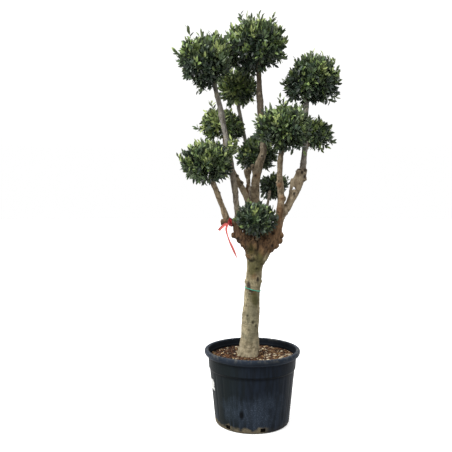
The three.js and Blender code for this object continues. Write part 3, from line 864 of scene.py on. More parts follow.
def bark_material(name, tints, aloft_tints):
    """Bark in the limbs' own space: blotched, painted shade in its hollows, brown, rusty and mossy where
    marked.
    """
    material = new_material(name, 0.85, 0.3)

    def marked(attribute, share=1.0):
        node = add_node(material.node_tree, "ShaderNodeAttribute", attribute_name=attribute)
        return product(node.outputs["Fac"], share)

    clouds = pattern(material, 14, (1, 1, 0.7))
    blotches = pattern(material, 42, (1, 1, 0.7))
    streaks = pattern(material, 55, (1, 1, 0.25))
    bands = pattern(material, 30, (0.6, 0.6, 3.2))
    fine = pattern(material, 260, (1, 1, 0.6), 6)
    side = add_node(material.node_tree, "ShaderNodeSeparateXYZ", {0: own_place(material)}).outputs
    height = total(side["Z"], product(clouds, 0.3))
    plain = layered(
        mixed(spread(clouds, 0.36, 0.64), *tints[:2]),
        (spread(streaks, 0.50, 0.70), tints[2]),
        (spread(bands, 0.56, 0.70, 0, 0.7), tints[3]),
        # Higher up, the bark turns to its tints aloft; the dark bark's are partly painted shade under the
        # crown.
        (spread(height, 1.78, 2.05, 0, 0.85), mixed(spread(streaks, 0.36, 0.64), *aloft_tints)),
        (spread(side["Z"], 0.64, 0.52, 0, 0.45), "#796f5d"),
        (spread(blotches, 0.53, 0.60, 0, 0.55), tints[3]),
        (spread(blotches, 0.44, 0.38, 0, 0.40), "#b4a98f"),
    )
    brown = layered(
        mixed(spread(streaks, 0.34, 0.64), "#563f2c", "#775a40"),
        (spread(clouds, 0.5, 0.62, 0, 0.6), "#493a2a"),
        (spread(blotches, 0.47, 0.40, 0, 0.55), "#90704d"),
        (spread(side["X"], 0.04, 0.13, 0, 0.30), "#8c6f4f"),
        (spread(side["X"], 0.00, -0.06, 0, 0.45), "#45331f"),
    )
    paint(material, "Base Color", layered(
        mixed(marked("brown"), plain, brown),
        (marked("stain", 0.7), mixed(fine, "#5f5e4a", "#77745c")),
        (marked("rust", 0.75), "#7c583a"),
        (marked("moss", 0.85), "#47451f"),
        (spread(fine, 0.52, 0.72, 0, 0.5), "#2f281d"),
        # Painted shade in the cracks, the cleft, under the burl's ledge and in the knots.
        (marked("hollow_shade", 0.9), "#17110b"),
    ))
    bumped(material, total(streaks, bands, fine), 0.0035)
    return material


bark_tints = {
    "trunk_bark": (("#978b6e", "#b5a887", "#7b7258", "#625a43"), ("#8d836a", "#aca288")),
    "tan_bark": (("#9c8b71", "#bcab90", "#837158", "#6c5c47"), ("#75685a", "#8f8374")),
    # The dark bark's tints aloft are darker: partly its own colour, partly painted shade under the crown.
    "dark_bark": (("#85765e", "#9f8f76", "#6b5c47", "#584b39"), ("#4a4238", "#60574b")),
    "grey_bark": (("#85796a", "#9f9485", "#6c6152", "#5c5346"), ("#6b6964", "#8d8b86")),
}
barks = {name: bark_material(name, *tints) for name, tints in bark_tints.items()}
limb_barks = {
    "trunk": "trunk_bark", "bough_lower_left": "tan_bark", "bough_right": "tan_bark",
    "bough_middle_left": "tan_bark", "bough_top_left": "grey_bark", "bough_top_right": "grey_bark",
    "bough_upper_back": "grey_bark", "bough_lower_right": "grey_bark",
}


def split_off(number, node):
    """The part of the melted wood that belongs to one CAD node, closed where it was parted."""
    if node == "trunk":
        brown = np.interp(uneven_heights, trunk_browns_over, (0, 1))
    else:
        top = brown_up_to[node]
        brown = np.interp(uneven_heights, (top - brown_fade, top + brown_fade), (1, 0))
    marks = {"hollow_shade": hollow_shade, "moss": moss, "stain": stain, "rust": rust, "brown": brown}
    shape = bmesh.new()
    shape.from_mesh(melted)
    shading = shape.verts.layers.float_vector.new("shading")
    layers = {mark: shape.verts.layers.float.new(mark) for mark in marks}
    for vertex in shape.verts:
        vertex[shading] = Vector(normals[vertex.index])
        for mark, layer in layers.items():
            vertex[layer] = marks[mark][vertex.index]
    others = [face for face in shape.faces if face_owners[face.index] != number]
    bmesh.ops.delete(shape, geom=others, context="FACES")
    bmesh.ops.holes_fill(shape, edges=[edge for edge in shape.edges if edge.is_boundary], sides=0)
    still_open = [edge for edge in shape.edges if edge.is_boundary]
    bmesh.ops.triangle_fill(shape, use_beauty=True, edges=still_open)
    mesh = bpy.data.meshes.new(f"{node}_bark")
    shape.to_mesh(mesh)
    shape.free()
    aims = read_out(mesh.attributes["shading"].data, "vector", (len(mesh.vertices), 3))
    mesh.attributes.remove(mesh.attributes["shading"])
    mesh.shade_smooth()
    mesh.normals_split_custom_set_from_vertices([tuple(aim) for aim in aims])
    piece = bpy.data.objects.new(f"{node}_bark", mesh)
    scene.collection.objects.link(piece)
    return piece


for number, node in enumerate(wood_nodes):
    limb = split_off(number, node)
    limb.data.materials.append(barks[limb_barks.get(node, "dark_bark")])
    ride_as(limb, "trunk_bark" if node == "trunk" else "bough_bark", node)

# The twine: two strands of thin green garden twine laid together, tied round the trunk and left
# there, a little askew. It lies on the bark all the way round.
twine_middle = Vector((0.004, 0, 0.899))
twine_slope = -0.249
strand_radius = 0.0016
strand_offset = 0.0015
twine_turns = 26
twine_steps = 240


def tubes(paths, radii, sides):
    """Closed tubes of a few sides round many paths of equally many points, as points and faces."""
    count, stations = radii.shape
    along = unit(np.gradient(paths, axis=1))
    helper = np.where(np.abs(along[:, :1, 2:]) > 0.8, (1.0, 0.0, 0.0), (0.0, 0.0, 1.0))
    first = unit(np.cross(along, helper))
    second = np.cross(along, first)
    angles = np.arange(sides) * math.tau / sides
    ring = first[:, :, None] * np.cos(angles)[:, None] + second[:, :, None] * np.sin(angles)[:, None]
    points = (paths[:, :, None] + ring * radii[:, :, None, None]).reshape(-1, 3)
    i, j = np.arange(sides), (np.arange(sides) + 1) % sides
    wall_faces = [np.stack([s * sides + i, s * sides + j, (s + 1) * sides + j, (s + 1) * sides + i], 1)
                  for s in range(stations - 1)]
    last = (stations - 1) * sides
    corners = np.concatenate([np.concatenate(wall_faces).ravel(), i[::-1], last + i])
    sizes = np.array([4] * sides * (stations - 1) + [sides] * 2)
    starts = np.arange(count)[:, None] * stations * sides
    return points, (corners + starts).ravel(), np.tile(sizes, count)


laid = []
for k in range(twine_steps + 1):
    angle = math.tau * k / twine_steps
    outward = Vector((math.cos(angle), math.sin(angle), twine_slope * math.cos(angle))).normalized()
    hit = wood_surface.ray_cast(twine_middle + outward * 0.2, -outward)[0]
    centre = hit + outward * (strand_radius + strand_offset * 0.8)
    strands = []
    for half in (0, math.pi):
        lay = twine_turns * angle + half
        strands.append(centre + strand_offset * (math.cos(lay) * outward + math.sin(lay) * Vector((0, 0, 1))))
    laid.append(strands)
strand_paths = np.array(laid).transpose(1, 0, 2)
twine_shape = tubes(strand_paths, np.full(strand_paths.shape[:2], strand_radius), 6)
twine = settled(joined_mesh("garden_twine", *twine_shape, [0] * len(twine_shape[2])), 60)
twine_green = new_material("green_twine", 0.7)
paint(twine_green, "Base Color", mixed(pattern(twine_green, 500), "#1f8f78", "#5fd0b4"))
bumped(twine_green, pattern(twine_green, 1500), 0.0006)
twine.data.materials.append(twine_green)
ride_as(twine, "green_twine", "trunk_twine")

# The marker ribbon: a strip of thin red plastic film, wound round the stump of the lowest bough,
# knotted in front and left with a short and a long tail. The single tails are painted paler for the light
# that shines through them.
ribbon_width = 0.019
film = 0.0007
wrap_middle = Vector((-0.152, -0.035, 1.354))
wrap_axis = Vector((0.985, 0.0, 0.17))
wrap_width = 0.026
wrap_steps, wrap_points = 72, 7
tail_steps, tail_points = 40, 6
short_tail = [(-0.166, -0.062, 1.346), (-0.188, -0.068, 1.334), (-0.210, -0.070, 1.316),
              (-0.226, -0.068, 1.298)]
long_tail = [(-0.158, -0.060, 1.350), (-0.176, -0.068, 1.312), (-0.160, -0.071, 1.240),
             (-0.134, -0.071, 1.180), (-0.104, -0.069, 1.112)]
knot_middle, knot_size = Vector((-0.158, -0.062, 1.352)), Vector((0.010, 0.008, 0.011))


def flowing(route, count):
    """That many points along a smooth curve through the points of a route."""
    route = np.array(route, float)
    ends = np.vstack([2 * route[0] - route[1], route, 2 * route[-1] - route[-2]])
    knots_at = np.concatenate([[0], np.cumsum(np.linalg.norm(np.diff(ends, axis=0), axis=1) ** 0.5)])
    dense = []
    for i in range(1, len(ends) - 2):
        a, b, c, d = knots_at[i - 1:i + 3]
        t = np.linspace(b, c, 16, endpoint=i == len(ends) - 3)[:, None]
        one = ((b - t) * ends[i - 1] + (t - a) * ends[i]) / (b - a)
        two = ((c - t) * ends[i] + (t - b) * ends[i + 1]) / (c - b)
        three = ((d - t) * ends[i + 1] + (t - c) * ends[i + 2]) / (d - c)
        left = ((c - t) * one + (t - a) * two) / (c - a)
        right = ((d - t) * two + (t - b) * three) / (d - b)
        dense.append(((c - t) * left + (t - b) * right) / (c - b))
    dense = np.concatenate(dense)
    reached = np.concatenate([[0], np.cumsum(np.linalg.norm(np.diff(dense, axis=0), axis=1))])
    even = np.linspace(0, reached[-1], count)
    return np.stack([np.interp(even, reached, dense[:, k]) for k in range(3)], 1)


def film_strip(rows, closed):
    """A thin solid strip of film: rows of points across it, given a thickness, closed in a loop or not."""
    rows = np.array(rows)
    length, breadth = rows.shape[:2]
    along = np.gradient(rows, axis=0)
    if closed:
        along = np.roll(rows, -1, 0) - np.roll(rows, 1, 0)
    normal = unit(np.cross(along, np.gradient(rows, axis=1)))
    sheets = np.stack([rows + normal * film / 2, rows - normal * film / 2])
    points = sheets.reshape(-1, 3)
    index = np.arange(2 * length * breadth).reshape(2, length, breadth)
    faces = []
    for i in range(length if closed else length - 1):
        k = (i + 1) % length
        for j in range(breadth - 1):
            faces.append((index[0, i, j], index[0, i, j + 1], index[0, k, j + 1], index[0, k, j]))
            faces.append((index[1, i, j], index[1, k, j], index[1, k, j + 1], index[1, i, j + 1]))
        faces.append((index[0, i, 0], index[0, k, 0], index[1, k, 0], index[1, i, 0]))
        faces.append((index[0, i, -1], index[1, i, -1], index[1, k, -1], index[0, k, -1]))
    if not closed:
        for j in range(breadth - 1):
            faces.append((index[0, 0, j], index[1, 0, j], index[1, 0, j + 1], index[0, 0, j + 1]))
            faces.append((index[0, -1, j], index[0, -1, j + 1], index[1, -1, j + 1], index[1, -1, j]))
    return points, [tuple(int(i) for i in face) for face in faces]


def wrap_rows(shift, tilt, lift):
    """One turn of the film round the stump, drawn into small pleats across its width."""
    axis = (wrap_axis + Vector((0, tilt, tilt))).normalized()
    across = axis.cross(Vector((0, 0, 1))).normalized()
    upright = across.cross(axis)
    rows = []
    for k in range(wrap_steps):
        angle = math.tau * k / wrap_steps
        outward = across * math.cos(angle) + upright * math.sin(angle)
        row = []
        for j in range(wrap_points):
            seat = wrap_middle + axis * (shift + wrap_width * (j / (wrap_points - 1) - 0.5) * 0.8)
            hit = wood_surface.ray_cast(seat + outward * 0.07, -outward)[0] or seat + outward * 0.022
            pleat = 0.0016 * math.sin(j * 2.4 + 3 * math.sin(angle)) + 0.001 * noise.noise(seat * 90)
            reach = min((hit - seat).length, 0.030) + 0.003 + lift + pleat
            row.append(seat + outward * reach)
        rows.append(row)
    return rows


def tail_rows(route, twist, curl, waist, taper):
    """A hanging tail of the film, gathered at the knot and its waist, drawn to a point, twisted a little."""
    middle = flowing(route, tail_steps)
    along = np.gradient(middle, axis=0)
    rows = []
    for k, place in enumerate(middle):
        share = k / (tail_steps - 1)
        forward = Vector(along[k]).normalized()
        side = forward.cross(Vector((0, -1, 0))).normalized()
        facing = side.cross(forward)
        angle = twist * share
        lean = side * math.cos(angle) + facing * math.sin(angle)
        bulge = facing * math.cos(angle) - side * math.sin(angle)
        width = ribbon_width * min(1.0, 0.45 + 3 * share)
        width *= 1 - waist * math.exp(-((share - 0.38) / 0.22) ** 2)
        width *= 1 - taper * max(0, (share - 0.8) / 0.2) ** 1.5
        rows.append([Vector(place) + lean * width * u + bulge * curl * width * (4 * u * u - 0.5)
                     for u in np.linspace(-0.5, 0.5, tail_points)])
    return rows


def merged(shapes):
    """Several sets of points and faces as one."""
    points, faces = [], []
    for more_points, more_faces in shapes:
        faces.extend(tuple(len(points) + i for i in face) for face in more_faces)
        points.extend(more_points)
    return points, faces


def knot_lump():
    """The knot in the film: a small crumpled ball."""
    shape = bmesh.new()
    bmesh.ops.create_icosphere(shape, subdivisions=4, radius=1)
    points = []
    for vertex in shape.verts:
        fold = 1 + 0.35 * abs(noise.noise(vertex.co * 2.3))
        fold -= 0.2 * abs(noise.noise(vertex.co * 5.1 + Vector((3, 1, 2))))
        points.append(knot_middle + vertex.co * knot_size * fold)
    faces = faces_of(shape)
    shape.free()
    return points, faces


wound = merged([
    film_strip(wrap_rows(0, 0.05, 0), True),
    film_strip(wrap_rows(0.003, -0.09, 0.0018), True),
    knot_lump(),
])
tails = merged([
    film_strip(tail_rows(short_tail, 0.3, 0.12, 0, 0), False),
    film_strip(tail_rows(long_tail, 0.9, 0.10, 0.5, 0.8), False),
])
ribbon_looks = {
    "ribbon_wound": (wound, "#7c080b", "#ad1317", 0.38),
    # The tails' paler reds are painted light, shining through the single film.
    "ribbon_tails": (tails, "#dd4f4c", "#f28a80", 0.45),
}
for name, (shape, dark, light, roughness) in ribbon_looks.items():
    piece = settled(turned_out(new_object(name, *shape)), 50)
    red_film = new_material(name + "_film", roughness)
    creases = pattern(red_film, 160, (1, 1, 0.4))
    paint(red_film, "Base Color", mixed(spread(creases, 0.3, 0.7), dark, light))
    bumped(red_film, creases, 0.0012)
    piece.data.materials.append(red_film)
    ride_as(piece, "red_ribbon", "marker_ribbon")

# The pompoms: balls of small leathery olive leaves, clipped once or twice a year. In each, the bough's
# stem forks into branches and shoots with opposite leaves, each pair turned a quarter from the last. A
# leaf is dark green above and paler below, and this year's upright shoots on top are yellow-green.

# Each ball's middle, its width, its height, how much lighter its leaf tones are and how much lighter on top:
# partly fresh growth, partly painted light that brightens balls and lower halves lying in shade.
balls = {
    "top_left": ((-0.322, -0.070, 2.410), 0.342, 0.354, 0.10, 0.62),
    "top_centre": ((0.035, 0.050, 2.542), 0.392, 0.380, 0.00, 0.86),
    "top_right": ((0.402, 0.050, 2.321), 0.366, 0.326, 0.05, 0.62),
    "upper_back": ((-0.099, 0.270, 2.307), 0.272, 0.258, 1.00, 0.62),
    "middle_left": ((-0.210, 0.200, 2.033), 0.290, 0.262, 0.85, 0.62),
    "middle_right": ((0.202, -0.150, 1.965), 0.360, 0.296, 0.20, -0.05),
    "far_right": ((0.474, 0.250, 1.976), 0.244, 0.230, 0.10, 0.62),
    "lower_left": ((-0.299, -0.100, 1.751), 0.328, 0.268, 0.26, 0.62),
    "middle_back": ((0.035, 0.190, 1.821), 0.284, 0.248, 0.00, 0.62),
    "lower_right": ((0.171, 0.300, 1.606), 0.212, 0.190, -0.20, 0.62),
    "fork": ((0.018, -0.120, 1.372), 0.268, 0.242, -0.48, 0.62),
}
leaf_habits = {"fork": (0.78, 1.35, 0.42), "lower_right": (0.90, 1.15, 0.30)}

# Shoots that have outgrown the clipped surface, in millimetres from the ball's middle. Those noted by
# X and Z alone stand a little before or behind it by turns.
long_shoots = {
    "top_left": [(-117, 233), (-17, 188), (-129, 151), (54, 194), (95, 180), (138, 155), (-211, 74),
        (-185, 18), (-44, -202), (-15, -216)],
    "top_centre": [(-120, 226), (-80, 220), (-40, 212), (42, 193), (113, 216), (140, 175), (196, -62),
        (188, -100), (-186, 117), (-157, 136)],
    "top_right": [(-117, 145), (-69, 151), (19, 181), (84, 183), (123, 137), (176, 136), (202, 25),
        (199, -43), (185, -127), (145, -164), (87, -155), (-207, -37)],
    "upper_back": [(-56, -138), (-13, -136), (70, -118), (127, -94)],
    "middle_left": [(-82, 191), (-114, 97), (-130, 56), (-191, -20), (44, 97), (153, -39)],
    "middle_right": [(-35, 207), (-15, 182), (-105, 148), (-193, 77), (-197, 1), (107, 135), (58, -158),
        (126, -161)],
    "far_right": [(1, 106), (99, 33), (133, -54), (32, -123), (71, -105)],
    "lower_left": [(-208, 34), (-80, 136), (-117, 97), (35, 134), (-150, -81), (-30, -145),
        (189, -20, 164), (189, -20, 105), (173, -20, 47), (198, -20, 135), (172, -40, 150), (160, -10, 95),
        (205, -30, 85), (182, 0, 125), (212, -20, 160)],
    "middle_back": [(-10, 141), (-62, 94), (-143, 50), (-147, -32)],
    "lower_right": [(-5, 98), (108, 56), (122, 20), (30, -93), (-72, -96), (-45, -20, -104),
        (55, -40, -88)],
    "fork": [(-61, 136), (42, 119), (100, 68), (129, 55), (-130, -10), (18, -120)],
}
shoot_depths = (0, -30, 30)

# Where a ball swells or is hollow: a direction, X and Z, and a share of its radius.
swells = {
    "top_left": [(0.8, 0.5, 0.12), (0.95, -0.2, 0.08), (-0.6, 0.8, -0.06), (-0.9, -0.5, -0.06),
        (-0.5, -0.8, -0.02), (0.5, 0.9, 0.1), (-0.2, 1, -0.1), (0.6, -0.8, 0.08), (0.2, -1, 0.08)],
    "top_centre": [(0.6, -0.75, -0.16), (0.1, 1, -0.08), (-0.9, -0.5, 0.12), (-0.8, 0.55, 0.09),
        (1, -0.05, -0.06), (0.9, -0.4, 0.07), (0, -1, 0.06), (-0.6, -0.8, 0.08)],
    "top_right": [(-0.75, -0.65, 0.18), (0.8, -0.6, 0.1), (-0.6, 0.7, -0.05), (-0.3, -0.95, 0.1),
        (-0.1, 1, -0.02), (1, 0.1, -0.05), (-0.9, 0.4, -0.08)],
    "upper_back": [(0.8, 0.2, 0.1), (0, 1, 0.18), (-0.7, 0.7, 0.14), (0.7, 0.7, 0.14), (-0.8, -0.6, 0.13),
        (0.8, -0.5, 0.09), (0, -1, 0.06)],
    "middle_left": [(-0.8, -0.6, 0.26), (0.8, -0.5, 0.28), (0.6, 0.8, -0.24), (-1, 0.1, -0.08)],
    "middle_right": [(0.2, -1, 0.22), (-0.6, 0.8, 0.06), (-0.5, -0.85, -0.05), (-0.95, -0.3, 0.1)],
    "far_right": [(0.3, -1, 0.13), (0.6, 0.7, -0.2), (-0.5, 0.9, 0.1), (0.8, -0.6, 0.08)],
    "lower_left": [(-0.5, -0.9, 0.24), (0.75, -0.65, 0.2), (-0.95, 0.1, 0.02), (-0.5, 0.85, 0.05)],
    "middle_back": [(0.6, -0.8, 0.18), (-0.8, 0.5, -0.04), (0.95, -0.3, 0.06)],
    "lower_right": [(-0.5, -0.85, 0.2), (0.2, -1, 0.12), (1, -0.2, -0.06)],
    "fork": [(0.9, 0.1, 0.08), (-0.8, -0.1, 0.06), (0.8, -0.6, 0.1)],
}
swell_breadth = 0.14
lump_height = 0.014
lump_waves = np.random.default_rng(3).normal(0, 3.2, (3, 8))
fork_stem = [(0.036, -0.014, 1.225), (0.030, -0.050, 1.272), (0.020, -0.104, 1.345)]
fork_stem_radius = 0.015
stem_depth = 0.75
stem_points, fork_points = 12, 5
branch_reach = 0.36
shoot_spacing = 0.0455
golden_angle = math.pi * (3 - math.sqrt(5))
shoot_disorder = 0.08
upward_curve = 0.38
side_twig_shares = (0.48, 0.74)
side_twig_lengths = (0.030, 0.062)
leaf_length = 0.049
leaf_width = 0.0198
leaf_thickness = 0.0009
leaf_keel = 0.11
leaf_bend = 0.14
leaf_reach = 0.50
leaf_spread = 1.02
leaf_lift = 0.50
leaf_disorder = 0.42
pair_step = 0.0150
tone_spread = 0.62
tone_steps = (-0.52, 0.02, 0.62, 1.26)
leaf_tones = ["#222e24", "#394938", "#526642", "#778b50", "#9ba868"]
under_tones = ["#566249", "#7b8662"]
leaf_stations = [(0.14, 0.27), (0.45, 0.50), (0.77, 0.34)]
clipped_reach, grown_reach, long_reach = 1.10, 1.24, 2.1
space_margin = 0.03
wood_clearance = 0.006
light_clearance = 0.018
front_limit = cad_box[0][1] - 0.018
rear_limit = cad_box[1][1] + 0.018


def clipped(place, ways):
    """How far the clipped surface stands out in some directions, as a share of the plain ball."""
    number = list(balls).index(place)
    reach = 1 + lump_height * np.sin(ways @ lump_waves + np.arange(8) * 1.7 + number).sum(-1)
    for x, z, amount in swells[place]:
        reach = reach + amount * np.exp((ways @ unit(np.array((x, 0, z))) - 1) / swell_breadth)
    return reach


def outness(place, points):
    """How far out points lie in a ball: 0 in its middle and 1 on the clipped surface."""
    middle, width, height = balls[place][:3]
    offsets = (points - middle) / (width / 2, width / 2, height / 2)
    far = np.linalg.norm(offsets, axis=-1)
    return far / clipped(place, offsets / far[..., None])


def fitting(place, roots, aims, lengths, reaches):
    """Which leaves stay whole in the ball's own space and off the wood."""
    kept = np.ones(len(roots), bool)
    for share in (0.15, 0.5, 0.95):
        points = roots + aims * (lengths * share)[:, None]
        own = outness(place, points)
        kept &= own < reaches
        kept &= (points[:, 1] < rear_limit) & (points[:, 1] > front_limit)
        for hole, *_ in light_holes:
            sight = unit(np.array(hole) - camera_place)
            offsets = points - hole
            aside = offsets - (offsets @ sight)[:, None] * sight
            kept &= np.linalg.norm(aside, axis=1) > light_clearance
        for other in balls:
            if other != place:
                kept &= own + space_margin < outness(other, points)
        touching = [wood_surface.find_nearest(Vector(point), wood_clearance)[0] is not None
                    for point in points[kept]]
        kept[np.flatnonzero(kept)[touching]] = False
    return kept


def bent(starts, bends, ends, share):
    """A point on each of many plain curves, and the way that the curve runs there."""
    share = np.asarray(share, float).reshape(-1, 1)
    points = (1 - share) ** 2 * starts + 2 * share * (1 - share) * bends + share ** 2 * ends
    return points, unit(2 * (1 - share) * (bends - starts) + 2 * share * (ends - bends))


def turned_aside(directions, angles):
    """A direction across each given one, at an angle round it."""
    level = unit(np.stack([-directions[:, 1], directions[:, 0], np.full(len(directions), 0.01)], 1))
    across = np.cross(directions, level)
    return level * np.cos(angles)[:, None] + unit(across) * np.sin(angles)[:, None]


def golden_ways(count, turn):
    """Directions spread evenly over a ball by the golden angle, and how steeply each one rises."""
    index = np.arange(count)
    rise = 1 - 2 * (index + 0.5) / count
    ring = np.sqrt(1 - rise ** 2)
    angle = index * golden_angle + turn
    return np.stack([ring * np.cos(angle), ring * np.sin(angle), rise], 1), rise


def drawn_in(offsets, amount):
    """Offsets made shorter by an amount."""
    far = np.linalg.norm(offsets, axis=1, keepdims=True)
    return offsets * ((far - amount) / far)


def leafed(twigs, pairs, disorder, dice):
    """The leaves of many twigs: one at the tip of each and opposite pairs behind it."""
    starts, bends, ends, tones, reaches, scales, lifts = twigs
    count = len(starts)
    lengths = np.linalg.norm(ends - starts, axis=1)
    twist = dice.random(count) * math.pi
    sets = []
    for pair in range(pairs + 1):
        for turn in ([0] if pair == 0 else [0, math.pi]):
            back = 0.003 + pair_step * pair * dice.uniform(0.85, 1.15, count)
            share = 1 - back / lengths
            points, along = bent(starts, bends, ends, np.clip(share, 0.05, 1))
            outward = turned_aside(along, twist + pair * math.pi / 2 + turn + dice.normal(0, 0.35, count))
            spread_out = 0.12 if pair == 0 else leaf_spread * min(1.1, 0.35 + 0.22 * pair)
            aims = unit(along + outward * spread_out)
            aims = unit(aims + lifts[:, None] * (0, 0, 1) + dice.normal(0, disorder, (count, 3)))
            uppers = along + dice.normal(0, 0.45, (count, 3))
            if pair == 0:
                uppers = turned_aside(along, dice.random(count) * math.tau)
            size = leaf_length * scales * min(1.0, 0.80 + 0.10 * pair) * dice.uniform(0.78, 1.14, count)
            younger = (dice.random(count) < 0.45) if pair == 0 else 0
            older = (dice.random(count) < 0.55) if pair > 2 else 0
            shades = np.clip(tones + younger - older, 0, len(leaf_tones) - 1)
            sets.append([points, aims, uppers, size, shades, reaches, share > 0.08])
    *leaves, there = (np.concatenate(column) for column in zip(*sets))
    return [column[there] for column in leaves]


def leaf_blade():
    """One leaf's points, faces and outline: a root, three rows of left, top, right and under, a tip."""
    points = [(0, 0, 0)]
    for along, half in leaf_stations:
        points += [(-half, along, 1), (0, along, 0), (half, along, 1), (0, along, 0)]
    points.append((0, 1, 0))
    last = len(points) - 1
    upper, under = [(0, 3, 2), (0, 2, 1)], [(0, 4, 3), (0, 1, 4)]
    for row in range(len(leaf_stations) - 1):
        left, top, right, below = range(1 + 4 * row, 5 + 4 * row)
        upper += [(top, right, right + 4, top + 4), (left, top, top + 4, left + 4)]
        under += [(below, below + 4, right + 4, right), (left, left + 4, below + 4, below)]
    left, top, right, below = range(last - 4, last)
    upper += [(top, right, last), (left, top, last)]
    under += [(below, last, right), (left, last, below)]
    return np.array(points, float), upper, under, [i for i in range(last + 1) if i % 2 == 1 or i in (0, last)]


def leaf_mesh(name, roots, aims, uppers, sizes, tones, breadth, dice):
    """All leaves of a ball in one mesh: each a keeled, bent blade with an upper and an under side."""
    count = len(roots)
    blade, upper, under, outline = leaf_blade()
    widths = breadth * leaf_width * sizes / leaf_length * dice.uniform(0.85, 1.2, count)
    bends = leaf_bend * dice.normal(1, 0.8, count)
    shape = np.zeros((count, len(blade), 3))
    shape[:, :, 0] = blade[:, 0] * widths[:, None]
    shape[:, :, 1] = blade[:, 1] * sizes[:, None]
    shape[:, :, 2] = (blade[:, 2] * widths[:, None] * leaf_keel
                      - (blade[:, 1] ** 2) * (bends * sizes)[:, None])
    shape[:, 2:-1:4, 2] += leaf_thickness / 2
    shape[:, 4:-1:4, 2] -= leaf_thickness / 2
    points = np.einsum("nvc,ncd->nvd", shape, axes_from(aims, uppers)) + roots[:, None]
    faces = upper + under
    corners = np.array([i for face in faces for i in face])
    corners = (corners + len(blade) * np.arange(count)[:, None]).ravel()
    looks = np.repeat(tones[:, None], len(faces), 1)
    looks[:, len(upper):] = len(leaf_tones) + (tones[:, None] > 3)
    face_sizes = np.tile([len(face) for face in faces], count)
    leaves = joined_mesh(name, points.reshape(-1, 3), corners, face_sizes, looks.ravel())
    leaves.data.shade_smooth()
    edges = read_out(leaves.data.edges, "vertices", (len(leaves.data.edges), 2), np.int32)
    sharp = np.isin(edges % len(blade), outline).all(1)
    leaves.data.attributes.new("sharp_edge", "BOOLEAN", "EDGE").data.foreach_set("value", sharp)
    return leaves


def leaf_material(name, code, roughness):
    material = new_material(name, roughness, 0.32)
    share = spread(pattern(material, 70, detail=2), 0.3, 0.7)
    paint(material, "Base Color", mixed(share, shaded(code, 0.72), shaded(code, 1.25)))
    bumped(material, pattern(material, 900, detail=2), 0.0004)
    return material


leaf_looks = [leaf_material(f"leaf_upper_{i}", code, 0.38) for i, code in enumerate(leaf_tones)]
leaf_looks += [leaf_material(f"leaf_under_{i}", code, 0.65) for i, code in enumerate(under_tones)]
twig_bark = new_material("twig_bark", 0.8)
twig_grain = pattern(twig_bark, 160)
paint(twig_bark, "Base Color", mixed(twig_grain, "#3f4030", "#6c6a50"))
bumped(twig_bark, twig_grain, 0.001)


